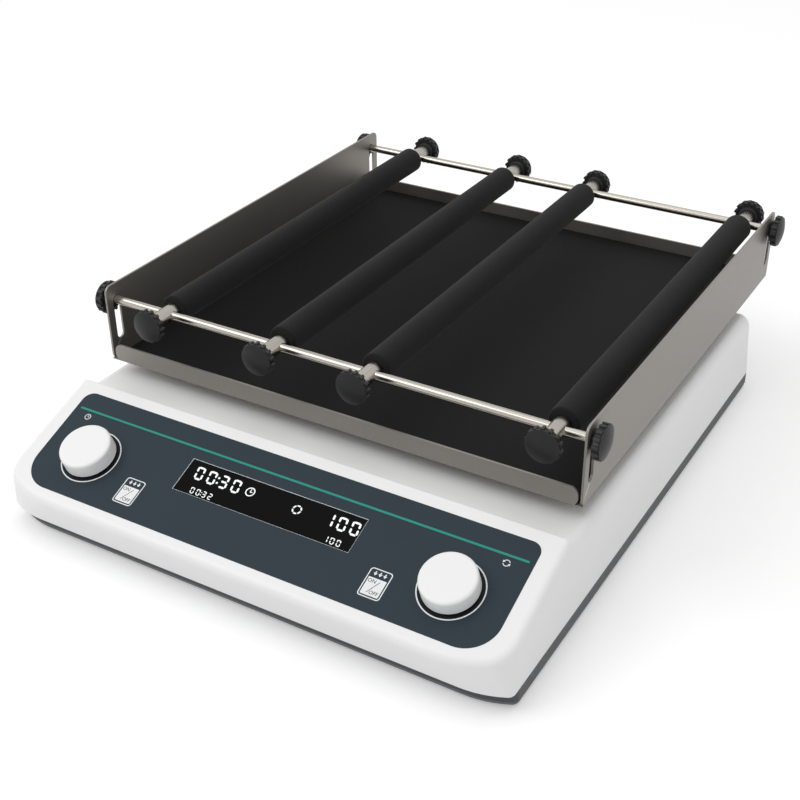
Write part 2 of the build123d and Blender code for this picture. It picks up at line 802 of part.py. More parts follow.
# Drive belt round both pulleys, between their flanges
with BuildPart() as drive_belt:
    with BuildSketch(crank_plane.offset(pulley_bottom + pulley_flange + belt_gap)):
        for layer, mode in ((belt_thickness, Mode.ADD), (0, Mode.SUBTRACT)):
            with BuildSketch(mode=mode):
                with BuildLine():
                    CenterArc((0, 0), big_pulley_diameter / 2 + belt_gap + layer, 0, 360)
                    CenterArc((0, -motor_distance), small_pulley_diameter / 2 + belt_gap + layer, 0, 360)
                make_hull()
    extrude(amount=pulley_width - 2 * pulley_flange - 2 * belt_gap)
save(drive_belt, "drive_belt")

# Motor: a flat outrunner can on a square base, shaft downwards
with BuildPart() as motor_body:
    with BuildSketch(motor_plane.offset(frame_top)):
        RectangleRounded(motor_base_size, motor_base_size, motor_round)
        with GridLocations(motor_screw_spacing, motor_screw_spacing, 2, 2):
            Circle(screw_hole, mode=Mode.SUBTRACT)
    extrude(amount=motor_base_thickness)
    with BuildSketch(motor_plane.offset(frame_top)):
        Circle(motor_diameter / 2)
    extrude(amount=motor_height)
    fillet(motor_body.edges().group_by(Axis.Z)[-1], motor_round)
    with BuildSketch(motor_plane.offset(frame_top)):
        Circle(motor_shaft_diameter / 2 + running_gap)
    extrude(amount=motor_height - motor_base_thickness, mode=Mode.SUBTRACT)
save(motor_body, "motor_body")

with BuildPart() as motor_shaft:
    with BuildSketch(motor_plane.offset(pulley_bottom)):
        Circle(motor_shaft_diameter / 2)
    extrude(amount=frame_top + motor_height - 2 * motor_base_thickness - pulley_bottom)
    chamfer(motor_shaft.edges().filter_by(GeomType.CIRCLE), edge_chamfer)
save(motor_shaft, "motor_shaft")

# Idler cranks: two parallel pins on a short web, so that the platform can't turn
for i, (x, y) in enumerate(idler_places):
    with BuildPart() as idler_crank:
        with BuildSketch(Plane((x, y, frame_height + idler_web_gap))):
            Circle(idler_pin_diameter / 2)
        extrude(amount=hub_top - frame_height)
        chamfer(idler_crank.edges().group_by(Axis.Z)[0], edge_chamfer)
        with BuildSketch(Plane((x, y + orbit_radius / 2, idler_web_bottom))):
            SlotCenterToCenter(orbit_radius, idler_web_width, rotation=90)
        extrude(amount=idler_web_thickness)
        with BuildSketch(Plane((x, y + orbit_radius, idler_web_top))):
            Circle(idler_pin_diameter / 2)
        extrude(amount=pin_top - idler_web_top)
        chamfer(idler_crank.edges().group_by(Axis.Z)[-1], edge_chamfer)
    save(idler_crank, f"idler_crank_{i + 1}")

# Tray screws: flat heads flush with the tray's floor
with BuildPart() as tray_screws:
    with Locations(tray_plane.offset(tray_floor_top)):
        with GridLocations(*tray_grid, 2, 2):
            Cylinder(tray_screw_diameter / 2, tray_screw_length, align=(Align.CENTER, Align.CENTER, Align.MAX))
            Cone(
                tray_screw_diameter / 2,
                tray_screw_head / 2,
                (tray_screw_head - tray_screw_diameter) / 2,
                align=(Align.CENTER, Align.CENTER, Align.MAX),
            )
save(tray_screws, "tray_screws")

# Carrier: the platform's plate, with a bearing seat for each pin
with BuildPart() as carrier:
    with BuildSketch(tray_plane.offset(carrier_underside)):
        RectangleRounded(tray_width - 2 * carrier_inset, tray_depth - 2 * carrier_inset, carrier_round)
        with PolarLocations(carrier_window_circle, idler_count, start_angle=90 + 180 / idler_count):
            Circle(carrier_window / 2, mode=Mode.SUBTRACT)
    extrude(amount=carrier_thickness)
    with BuildSketch(Plane.XY.offset(boss_underside).shift_origin((0, orbit_radius, boss_underside))):
        with Locations(*crank_places):
            Circle(hub_bearing_outside / 2 + carrier_boss_wall)
        with Locations(*idler_places):
            Circle(idler_bearing_outside / 2 + carrier_boss_wall)
    extrude(amount=carrier_boss_depth)
    with BuildSketch(Plane.XY.offset(boss_underside).shift_origin((0, orbit_radius, boss_underside))):
        with Locations(*crank_places):
            Circle(hub_bearing_outside / 2)
        with Locations(*idler_places):
            Circle(idler_bearing_outside / 2)
    extrude(amount=seat_top - boss_underside, mode=Mode.SUBTRACT)
    add(tray_screws.part, mode=Mode.SUBTRACT)
save(carrier, "carrier")

with BuildPart() as carrier_bearings:
    for x, y in crank_places:
        with Locations((x, y + orbit_radius, boss_underside)):
            add(hub_bearing)
    for x, y in idler_places:
        with Locations((x, y + orbit_radius, boss_underside)):
            add(idler_bearing)
save(carrier_bearings, "carrier_bearings")

# Tray: bent sheet, high at the sides and with a low lip in front and behind
with BuildPart() as tray:
    with BuildSketch(tray_plane.offset(tray_underside)):
        Rectangle(tray_width, tray_depth)
    extrude(amount=tray_sheet)
    slot_top = rail_height + slot_width / 2
    wall_planes = (Plane.YZ.offset(tray_width / 2 - tray_sheet), Plane.YZ.offset(-tray_width / 2))
    with BuildSketch(*wall_planes) as side_walls:
        with Locations((tray_front_y, tray_underside)):
            Rectangle(tray_depth, tray_wall_height, align=Align.MIN)
        fillet(side_walls.vertices().group_by(Axis.Z)[-1], tray_wall_round)
        for y in rail_places.values():
            with Locations((y, tray_underside + (slot_bottom + slot_top) / 2)):
                SlotOverall(slot_top - slot_bottom, slot_width, rotation=90, mode=Mode.SUBTRACT)
    extrude(amount=tray_sheet)
    lip_width = tray_width - 2 * tray_sheet - 2 * lip_end_gap
    for y in (tray_front_y + tray_sheet, tray_front_y + tray_depth):
        with BuildSketch(Plane((0, y, tray_underside), x_dir=(1, 0, 0), z_dir=(0, -1, 0))) as lip:
            Rectangle(lip_width, lip_height, align=(Align.CENTER, Align.MIN))
            fillet(lip.vertices().group_by(Axis.Z)[-1], lip_end_round)
        extrude(amount=tray_sheet)
    bent_edges = tray.edges().group_by(Axis.Z)[0].filter_by(lambda edge: edge.length > tray_width / 2)
    fillet(bent_edges, tray_bend_round)
    add(tray_screws.part, mode=Mode.SUBTRACT)
save(tray, "tray")

# Tray mat: the black rubber sheet on the tray's floor
with BuildPart() as tray_mat:
    with BuildSketch(tray_plane.offset(tray_floor_top)):
        Rectangle(tray_width - 2 * tray_sheet - 2 * mat_gap, tray_depth - 2 * tray_sheet - 2 * mat_gap)
    extrude(amount=mat_thickness)
    fillet(tray_mat.edges().filter_by(Axis.Z), mat_thickness)
save(tray_mat, "tray_mat")

# Rails across the front and the back of the tray
for name, y in rail_places.items():
    with BuildPart() as rail:
        with BuildSketch(Plane((0, y, rail_z), x_dir=(0, 1, 0), z_dir=(1, 0, 0))):
            Circle(rail_diameter / 2)
        extrude(amount=tray_width / 2 + rail_thread_length, both=True)
        chamfer(rail.edges().filter_by(GeomType.CIRCLE), edge_chamfer)
    save(rail, f"{name}_rail")

# Clamp bars: a steel core with a cross-bored sleeve at each end, and a foam tube round it
sleeve_length = sleeve_past_edge + foam_setback
for i, x in enumerate(bar_places):
    bar_front = Plane((x, tray_front_y, rail_z), x_dir=(1, 0, 0), z_dir=(0, 1, 0))
    with BuildPart() as bar_core:
        with BuildSketch(bar_front.offset(foam_setback)):
            Circle(bar_core_diameter / 2)
        extrude(amount=tray_depth - 2 * foam_setback)
        with BuildSketch(bar_front.offset(-sleeve_past_edge), bar_front.offset(tray_depth - foam_setback)):
            Circle(sleeve_diameter / 2)
        extrude(amount=sleeve_length)
        chamfer(bar_core.edges().filter_by(GeomType.CIRCLE).group_by(Axis.Y)[0], edge_chamfer)
        chamfer(bar_core.edges().filter_by(GeomType.CIRCLE).group_by(Axis.Y)[-1], edge_chamfer)
        with BuildSketch(bar_front.offset(-sleeve_past_edge - stud_length)):
            Circle(stud_diameter / 2)
        extrude(amount=stud_length + edge_chamfer)
        with BuildSketch(bar_front.offset(tray_depth + sleeve_past_edge - edge_chamfer)):
            Circle(stud_diameter / 2)
        extrude(amount=stud_length + edge_chamfer)
        for y in rail_places.values():
            with BuildSketch(Plane((x, y, rail_z), x_dir=(0, 1, 0), z_dir=(1, 0, 0))):
                Circle(rail_diameter / 2 + running_gap)
            extrude(amount=sleeve_diameter, both=True, mode=Mode.SUBTRACT)
    save(bar_core, f"bar_core_{i + 1}")
    with BuildPart() as foam_sleeve:
        with BuildSketch(bar_front.offset(foam_setback)):
            Circle(foam_diameter / 2)
            Circle(bar_core_diameter / 2, mode=Mode.SUBTRACT)
        extrude(amount=tray_depth - 2 * foam_setback)
        foam_edges = foam_sleeve.edges().filter_by(GeomType.CIRCLE)
        fillet(foam_edges.filter_by(lambda edge: edge.radius > bar_core_diameter), foam_round)
    save(foam_sleeve, f"foam_sleeve_{i + 1}")


# Star knob: a hub that starts at the given plane, a notched grip, then a domed cap
def star_knob(plane, bore_diameter, bore_depth, name):
    with BuildPart() as knob:
        with BuildSketch(plane):
            Circle(star_hub_diameter / 2)
        extrude(amount=star_hub_length)
        with BuildSketch(plane.offset(star_hub_length)):
            Circle(star_diameter / 2)
            with PolarLocations(star_diameter / 2, star_notch_count):
                Rectangle(2 * star_notch_depth, star_notch_width, mode=Mode.SUBTRACT)
        extrude(amount=star_grip_length)
        cap_plane = plane.offset(star_hub_length + star_grip_length)
        with BuildSketch(Plane(cap_plane.origin, x_dir=plane.x_dir, z_dir=-plane.y_dir)):
            with BuildLine():
                Line((0, 0), (star_cap_diameter / 2, 0))
                Line((star_cap_diameter / 2, 0), (star_cap_diameter / 2, star_cap_rim))
                RadiusArc(
                    (star_cap_diameter / 2, star_cap_rim), (0, star_cap_height), -star_dome_radius
                )
                Line((0, star_cap_height), (0, 0))
            make_face()
        revolve(axis=Axis(plane.origin, plane.z_dir))
        with BuildSketch(plane):
            Circle(bore_diameter / 2 + running_gap)
        extrude(amount=bore_depth, mode=Mode.SUBTRACT)
    save(knob, name)


star_dome_rise = star_cap_height - star_cap_rim
star_dome_radius = (star_cap_diameter**2 / 4 + star_dome_rise**2) / (2 * star_dome_rise)
stud_bore = stud_length - star_face_gap + star_bore_spare
rail_bore = rail_thread_length - side_knob_gap + star_bore_spare
sleeve_ends = {
    "front": (tray_front_y - sleeve_past_edge - star_face_gap, -1),
    "back": (tray_front_y + tray_depth + sleeve_past_edge + star_face_gap, 1),
}
for i, x in enumerate(bar_places):
    for end, (y, way) in sleeve_ends.items():
        knob_plane = Plane((x, y, rail_z), x_dir=(1, 0, 0), z_dir=(0, way, 0))
        star_knob(knob_plane, stud_diameter, stud_bore, f"bar_{i + 1}_{end}_knob")
for end, y in rail_places.items():
    for side, way in (("left", -1), ("right", 1)):
        knob_x = way * (tray_width / 2 + side_knob_gap)
        knob_plane = Plane((knob_x, y, rail_z), x_dir=(0, 1, 0), z_dir=(way, 0, 0))
        star_knob(knob_plane, rail_diameter, rail_bore, f"{end}_{side}_rail_knob")

# Encoders: a square body under the panel, a bushing through it and a nut on the overlay
with BuildPart() as encoders:
    for plane in control_planes.values():
        with BuildSketch(plane.offset(-shell_wall - encoder_depth)):
            Rectangle(encoder_size, encoder_size)
        extrude(amount=encoder_depth)
        with BuildSketch(plane.offset(-shell_wall)):
            Circle(bushing_diameter / 2)
        extrude(amount=shell_wall + bushing_height)
        with BuildSketch(plane.offset(overlay_proud)):
            RegularPolygon(nut_across_flats / 2, 6, major_radius=False)
        extrude(amount=nut_thickness)
        with BuildSketch(plane.offset(-shell_wall - encoder_depth + encoder_floor)):
            Circle(shaft_diameter / 2 + running_gap)
        extrude(amount=encoder_depth + shell_wall + bushing_height, mode=Mode.SUBTRACT)
save(encoders, "encoders")

plunger_bottom = -shell_wall - encoder_depth + encoder_floor + plunger_gap + push_travel
shaft_bottom = plunger_bottom + plunger_length + contact_gap
knob_top = control_knob_lift + control_knob_height
hub_bottom = bushing_height + push_travel + plunger_gap
for name, plane in control_planes.items():
    with BuildPart() as encoder_plunger:
        with BuildSketch(plane.offset(plunger_bottom)):
            Circle(shaft_diameter / 2)
        extrude(amount=plunger_length)
    save(encoder_plunger, f"encoder_plunger_{name}")
    with BuildPart() as encoder_shaft:
        with BuildSketch(plane.offset(shaft_bottom)):
            Circle(shaft_diameter / 2)
        extrude(amount=knob_top - control_knob_top - shaft_bottom)
    save(encoder_shaft, f"encoder_shaft_{name}")
    # control knob: a hollow cap with a hub on the shaft
    with BuildPart() as control_knob:
        with BuildSketch(plane.offset(control_knob_lift)):
            Circle(control_knob_diameter / 2)
        extrude(amount=control_knob_height)
        fillet(control_knob.edges().sort_by(plane.location.z_axis)[-1], control_knob_round)
        with BuildSketch(plane.offset(control_knob_lift)):
            Circle(control_knob_diameter / 2 - control_knob_wall)
        extrude(amount=control_knob_height - control_knob_top, mode=Mode.SUBTRACT)
        with BuildSketch(plane.offset(hub_bottom)):
            Circle(control_hub_diameter / 2)
            Circle(shaft_diameter / 2, mode=Mode.SUBTRACT)
        extrude(amount=knob_top - control_knob_top - hub_bottom)
    save(control_knob, f"control_knob_{name}")

# Mains inlet: a flanged socket with three pins set back inside it
inlet_plane = back_plane.shift_origin(back_plane.from_local_coords((-inlet_place, 0, 0)))
with BuildPart() as mains_inlet:
    with BuildSketch(inlet_plane):
        RectangleRounded(inlet_width + 2 * inlet_flange, inlet_height + 2 * inlet_flange, inlet_flange / 2)
    extrude(amount=inlet_flange_thickness)
    with BuildSketch(inlet_plane):
        Rectangle(inlet_width, inlet_height)
    extrude(amount=-inlet_depth)
    with BuildSketch(inlet_plane.offset(inlet_flange_thickness)) as socket:
        Rectangle(inlet_cavity_width, inlet_cavity_height)
        chamfer(socket.vertices().group_by(Axis.Z)[-1], inlet_flange)
    extrude(amount=-inlet_cavity_depth, mode=Mode.SUBTRACT)
    with BuildSketch(inlet_plane.offset(inlet_flange_thickness - inlet_cavity_depth)):
        with Locations((0, inlet_pin_drop)):
            Rectangle(inlet_pin_width, inlet_pin_height)
        with Locations((-inlet_pin_spacing, -inlet_pin_drop), (inlet_pin_spacing, -inlet_pin_drop)):
            Rectangle(inlet_pin_width, inlet_pin_height)
    extrude(amount=inlet_cavity_depth - inlet_pin_setback)
save(mains_inlet, "mains_inlet")

# Power switch: a flanged frame with a round-bottomed pocket, and the rocker pivoting in it
switch_plane = back_plane.shift_origin(back_plane.from_local_coords((-switch_place, 0, 0)))
pocket_radius = rocker_radius + rocker_gap
frame_half_width = rocker_width / 2 + rocker_gap + switch_wall
frame_half_height = pocket_radius + switch_wall
pivot = switch_plane.from_local_coords((0, 0, inlet_flange_thickness - rocker_pivot_depth))
rocker_plane = Plane(pivot, x_dir=switch_plane.z_dir, z_dir=(1, 0, 0))
with BuildPart() as switch_frame:
    with BuildSketch(switch_plane):
        RectangleRounded(
            2 * (frame_half_width + switch_flange), 2 * (frame_half_height + switch_flange), switch_flange / 2
        )
    extrude(amount=inlet_flange_thickness)
    with BuildSketch(switch_plane):
        Rectangle(2 * frame_half_width, 2 * frame_half_height)
    extrude(amount=-switch_depth)
    with BuildSketch(rocker_plane):
        Circle(pocket_radius)
        Rectangle(rocker_pivot_depth * 2, 2 * pocket_radius, align=(Align.MIN, Align.CENTER))
    extrude(amount=rocker_width / 2 + rocker_gap, both=True, mode=Mode.SUBTRACT)
    with BuildSketch(rocker_plane):
        Circle(rocker_pin_diameter / 2 + running_gap)
    extrude(amount=rocker_width / 2 + rocker_gap + rocker_pin_length, both=True, mode=Mode.SUBTRACT)
save(switch_frame, "switch_frame")

rocker_face = rocker_pivot_depth + rocker_proud  # pivot to the middle of the rocker's two faces
tilted_plane = Plane(pivot, x_dir=switch_plane.z_dir.rotate(Axis.X, rocker_tilt), z_dir=(1, 0, 0))
with BuildPart() as power_rocker:
    with BuildSketch(tilted_plane):
        Circle(rocker_radius)
        with BuildLine():
            Polyline(
                (rocker_face, 0),
                (rocker_face + rocker_radius * tan(radians(rocker_tilt)), rocker_radius),
                (-rocker_radius, rocker_radius),
                (-rocker_radius, -rocker_radius),
                (rocker_face + rocker_radius * tan(radians(rocker_tilt)), -rocker_radius),
                close=True,
            )
        make_face(mode=Mode.INTERSECT)
    extrude(amount=rocker_width / 2, both=True)
    with BuildSketch(rocker_plane):
        Circle(rocker_pin_diameter / 2)
    extrude(amount=rocker_width / 2 + rocker_pin_length, both=True)
save(power_rocker, "power_rocker")


def screw(length):
    with BuildPart() as form:
        with BuildSketch():
            Circle(screw_head_diameter / 2)
        extrude(amount=-screw_head_height)
        with BuildSketch():
            Circle(screw_diameter / 2)
        extrude(amount=length)
    return form.part


# Shell screws: up through the bottom plate and the pan into the shell's bosses
shell_screw = screw(plate_thickness + floor_thickness + screw_reach)
with BuildPart() as shell_screws:
    for x, y in shell_boss_places:
        with Locations((x, y, foot_stand)):
            add(shell_screw)
save(shell_screws, "shell_screws")

# Frame screws: down through the drive frame, and through the motor's base
with BuildPart() as frame_screws:
    with Locations(frame_plane.offset(frame_top)):
        with GridLocations(*frame_grid, 2, 2):
            with Locations(Rotation(180, 0, 0)):
                add(screw(frame_thickness + screw_reach))
    with Locations(motor_plane.offset(frame_top + motor_base_thickness)):
        with GridLocations(motor_screw_spacing, motor_screw_spacing, 2, 2):
            with Locations(Rotation(180, 0, 0)):
                add(screw(frame_thickness + motor_base_thickness))
save(frame_screws, "frame_screws")
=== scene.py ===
import math

import bmesh
import bpy
from mathutils import Matrix, Vector, noise
from mathutils.geometry import tessellate_polygon


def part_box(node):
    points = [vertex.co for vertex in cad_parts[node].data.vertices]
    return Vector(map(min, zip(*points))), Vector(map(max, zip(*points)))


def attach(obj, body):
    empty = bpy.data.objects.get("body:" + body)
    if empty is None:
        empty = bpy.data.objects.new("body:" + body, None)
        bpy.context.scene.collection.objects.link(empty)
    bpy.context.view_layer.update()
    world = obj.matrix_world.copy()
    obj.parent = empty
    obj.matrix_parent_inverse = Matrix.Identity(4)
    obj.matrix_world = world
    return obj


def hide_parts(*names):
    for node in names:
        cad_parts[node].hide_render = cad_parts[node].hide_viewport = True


# Orbital shaker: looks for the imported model. Lengths in the dictionaries are mm, the scene is in metres.
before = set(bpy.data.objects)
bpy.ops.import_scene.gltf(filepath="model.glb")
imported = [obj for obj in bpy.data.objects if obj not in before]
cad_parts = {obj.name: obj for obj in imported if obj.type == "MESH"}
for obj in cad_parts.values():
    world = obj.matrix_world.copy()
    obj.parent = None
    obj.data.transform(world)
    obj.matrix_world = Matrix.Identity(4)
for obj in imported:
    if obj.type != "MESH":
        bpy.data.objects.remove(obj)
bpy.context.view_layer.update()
print("stage: frame loaded,", len(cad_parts), "nodes")

# places that the CAD model gives, in mm
site = {
    "trayFront": -125.45,
    "trayBack": 224.55,
    "trayHalf": 176.5,
    "trayUnder": 73.6,
    "sheet": 1.5,
    "railHeight": 116.5,
    "railFront": -116.15,
    "railBack": 215.25,
    "barX": (-130.398, -42.607, 27.781, 154.402),
    "panelAngle": 20.8,
    "overlayTopY": -159.05,
    "overlayTopZ": 67.203,
    "windowDrop": 34.3,
    "dialX": 132.4,
    "dialDrop": 45.5,
    "barKnob": 5.1,
    "railKnob": 0.5,
}


def hexColour(text):
    parts = [int(text[i:i + 2], 16) / 255 for i in (1, 3, 5)]
    linear = [c / 12.92 if c <= 0.04045 else ((c + 0.055) / 1.055) ** 2.4 for c in parts]
    return (*linear, 1.0)


# shader building
def addNode(tree, kind, values=None, **settings):
    made = tree.nodes.new(kind)
    for key, value in settings.items():
        setattr(made, key, value)
    for key, value in (values or {}).items():
        if isinstance(value, bpy.types.NodeSocket):
            tree.links.new(value, made.inputs[key])
        else:
            made.inputs[key].default_value = value
    return made


def startGroup(name, sockets, results):
    group = bpy.data.node_groups.new(name, "ShaderNodeTree")
    for label, kind, value in sockets:
        made = group.interface.new_socket(name=label, in_out="INPUT", socket_type="NodeSocket" + kind)
        made.default_value = value
    for label, kind in results:
        group.interface.new_socket(name=label, in_out="OUTPUT", socket_type="NodeSocket" + kind)
    return group, group.nodes.new("NodeGroupInput"), group.nodes.new("NodeGroupOutput")


def mathNode(tree, operation, first, second=0.5, third=0.5):
    return addNode(tree, "ShaderNodeMath", {0: first, 1: second, 2: third}, operation=operation).outputs[0]


def spread(tree, value, low, high):
    # takes a 0 to 1 value to the range between two others
    made = addNode(tree, "ShaderNodeMapRange", {"Value": value, "To Min": low, "To Max": high})
    return made.outputs["Result"]


def tintBy(tree, colour, amount):
    # scales a colour by a number
    made = addNode(tree, "ShaderNodeVectorMath", {0: colour}, operation="SCALE")
    tree.links.new(amount, made.inputs["Scale"])
    return made.outputs[0]


def buildMouldedGrain():
    # fine texture and slow tone change of moulded plastic or paint
    group, source, result = startGroup(
        "mouldedGrain",
        [("Color", "Color", (0.8, 0.8, 0.8, 1)), ("Tone", "Float", 0.02), ("Grain Scale", "Float", 1400.0),
         ("Roughness", "Float", 0.35), ("Roughness Change", "Float", 0.05)],
        [("Color", "Color"), ("Roughness", "Float"), ("Height", "Float")],
    )
    spot = addNode(group, "ShaderNodeTexCoord").outputs["Object"]
    slow = addNode(group, "ShaderNodeTexNoise", {"Vector": spot, "Scale": 14.0, "Detail": 3.0}).outputs[0]
    grain = {"Vector": spot, "Scale": source.outputs["Grain Scale"]}
    fine = addNode(group, "ShaderNodeTexNoise", {**grain, "Detail": 2.0})
    cell = addNode(group, "ShaderNodeTexVoronoi", grain)
    low = mathNode(group, "SUBTRACT", 1.0, source.outputs["Tone"])
    high = mathNode(group, "ADD", 1.0, source.outputs["Tone"])
    colour = tintBy(group, source.outputs["Color"], spread(group, slow, low, high))
    rough = mathNode(group, "MULTIPLY_ADD", mathNode(group, "SUBTRACT", fine.outputs[0], 0.5),
                     source.outputs["Roughness Change"], source.outputs["Roughness"])
    height = mathNode(group, "MULTIPLY_ADD", cell.outputs["Distance"], 0.5, fine.outputs[0])
    group.links.new(colour, result.inputs["Color"])
    group.links.new(rough, result.inputs["Roughness"])
    group.links.new(height, result.inputs["Height"])
    return group


def buildBrushedGrain():
    # long scratches along one direction of a rolled or turned metal
    group, source, result = startGroup(
        "brushedGrain",
        [("Color", "Color", (0.5, 0.5, 0.5, 1)), ("Stretch", "Vector", (40, 2000, 2000)),
         ("Tone", "Float", 0.08), ("Roughness", "Float", 0.3), ("Roughness Change", "Float", 0.1)],
        [("Color", "Color"), ("Roughness", "Float"), ("Height", "Float")],
    )
    spot = addNode(group, "ShaderNodeTexCoord").outputs["Object"]
    along = addNode(group, "ShaderNodeVectorMath", {0: spot, 1: source.outputs["Stretch"]},
                    operation="MULTIPLY")
    streak = addNode(group, "ShaderNodeTexNoise", {"Vector": along.outputs[0], "Scale": 1.0, "Detail": 4.0,
                                                   "Roughness": 0.65}).outputs[0]
    cloud = addNode(group, "ShaderNodeTexNoise", {"Vector": spot, "Scale": 9.0, "Detail": 2.0}).outputs[0]
    mixed = mathNode(group, "MULTIPLY_ADD", streak, 0.7, mathNode(group, "MULTIPLY", cloud, 0.3))
    low = mathNode(group, "SUBTRACT", 1.0, source.outputs["Tone"])
    high = mathNode(group, "ADD", 1.0, source.outputs["Tone"])
    colour = tintBy(group, source.outputs["Color"], spread(group, mixed, low, high))
    rough = mathNode(group, "MULTIPLY_ADD", mathNode(group, "SUBTRACT", streak, 0.5),
                     source.outputs["Roughness Change"], source.outputs["Roughness"])
    group.links.new(colour, result.inputs["Color"])
    group.links.new(rough, result.inputs["Roughness"])
    group.links.new(streak, result.inputs["Height"])
    return group


def buildSoftCells():
    # closed cells and fine dust of foam and rubber
    group, source, result = startGroup(
        "softCells",
        [("Color", "Color", (0.02, 0.02, 0.02, 1)), ("Cell Scale", "Float", 1500.0), ("Tone", "Float", 0.2),
         ("Roughness", "Float", 0.8), ("Dust", "Float", 0.1)],
        [("Color", "Color"), ("Roughness", "Float"), ("Height", "Float")],
    )
    spot = addNode(group, "ShaderNodeTexCoord").outputs["Object"]
    cell = addNode(group, "ShaderNodeTexVoronoi", {"Vector": spot, "Scale": source.outputs["Cell Scale"]})
    cloud = addNode(group, "ShaderNodeTexNoise", {"Vector": spot, "Scale": 30.0, "Detail": 4.0}).outputs[0]
    low = mathNode(group, "SUBTRACT", 1.0, source.outputs["Tone"])
    high = mathNode(group, "ADD", 1.0, source.outputs["Tone"])
    shade = mathNode(group, "MULTIPLY", spread(group, cell.outputs["Distance"], high, low),
                     spread(group, cloud, low, high))
    colour = tintBy(group, source.outputs["Color"], shade)
    dusty = addNode(group, "ShaderNodeMix", {0: mathNode(group, "MULTIPLY", cloud, source.outputs["Dust"]),
                                             6: colour, 7: (0.09, 0.088, 0.085, 1)}, data_type="RGBA")
    group.links.new(dusty.outputs[2], result.inputs["Color"])
    group.links.new(mathNode(group, "MULTIPLY_ADD", cloud, 0.1, source.outputs["Roughness"]),
                    result.inputs["Roughness"])
    group.links.new(cell.outputs["Distance"], result.inputs["Height"])
    return group


def buildPaintedEdgeHighlight():
    # mask of convex edges, broken up by noise, for a lighter colour laid on the edges as a painted highlight
    group, source, result = startGroup(
        "paintedEdgeHighlight", [("Start", "Float", 0.52), ("End", "Float", 0.6), ("Breakup", "Float", 300.0)],
        [("Mask", "Float")],
    )
    sharp = addNode(group, "ShaderNodeNewGeometry").outputs["Pointiness"]
    spot = addNode(group, "ShaderNodeTexCoord").outputs["Object"]
    patch = addNode(group, "ShaderNodeTexNoise", {"Vector": spot, "Scale": source.outputs["Breakup"]})
    ramp = addNode(group, "ShaderNodeMapRange", {"Value": sharp, "From Min": source.outputs["Start"],
                                                 "From Max": source.outputs["End"]}).outputs["Result"]
    edgeHighlightMask = mathNode(group, "MULTIPLY", ramp, spread(group, patch.outputs[0], 0.6, 1.0))
    group.links.new(edgeHighlightMask, result.inputs["Mask"])
    return group


groups = {
    "moulded": buildMouldedGrain(),
    "brushed": buildBrushedGrain(),
    "cells": buildSoftCells(),
    "edge": buildPaintedEdgeHighlight(),
}


def makeFinish(name, kind, colour, values, bump=0.05, bumpDistance=0.0001, edge=None, **shaderValues):
    # one material: a grain group, a bump, a lighter edge colour as a painted highlight where asked, and the
    # shader
    material = bpy.data.materials.new(name)
    material.use_nodes = True
    tree = material.node_tree
    shader = tree.nodes["Principled BSDF"]
    grain = tree.nodes.new("ShaderNodeGroup")
    grain.node_tree = groups[kind]
    grain.inputs["Color"].default_value = colour
    for label, value in values.items():
        grain.inputs[label].default_value = value
    surface = grain.outputs["Color"]
    # the edge colour is a painted highlight along convex edges
    if edge:
        edgeHighlightMask = tree.nodes.new("ShaderNodeGroup")
        edgeHighlightMask.node_tree = groups["edge"]
        edgeHighlightMask.inputs["Start"].default_value = edge.get("start", 0.52)
        edgeHighlightMask.inputs["End"].default_value = edge.get("end", 0.6)
        highlightBlend = addNode(tree, "ShaderNodeMix", {0: edgeHighlightMask.outputs["Mask"], 6: surface, 7: edge["colour"]},
                        data_type="RGBA")
        surface = highlightBlend.outputs[2]
    relief = addNode(tree, "ShaderNodeBump", {"Strength": bump, "Distance": bumpDistance,
                                               "Height": grain.outputs["Height"]})
    tree.links.new(surface, shader.inputs["Base Color"])
    tree.links.new(grain.outputs["Roughness"], shader.inputs["Roughness"])
    tree.links.new(relief.outputs[0], shader.inputs["Normal"])
    for label, value in shaderValues.items():
        shader.inputs[label.replace("_", " ")].default_value = value
    material.diffuse_color = colour
    return material


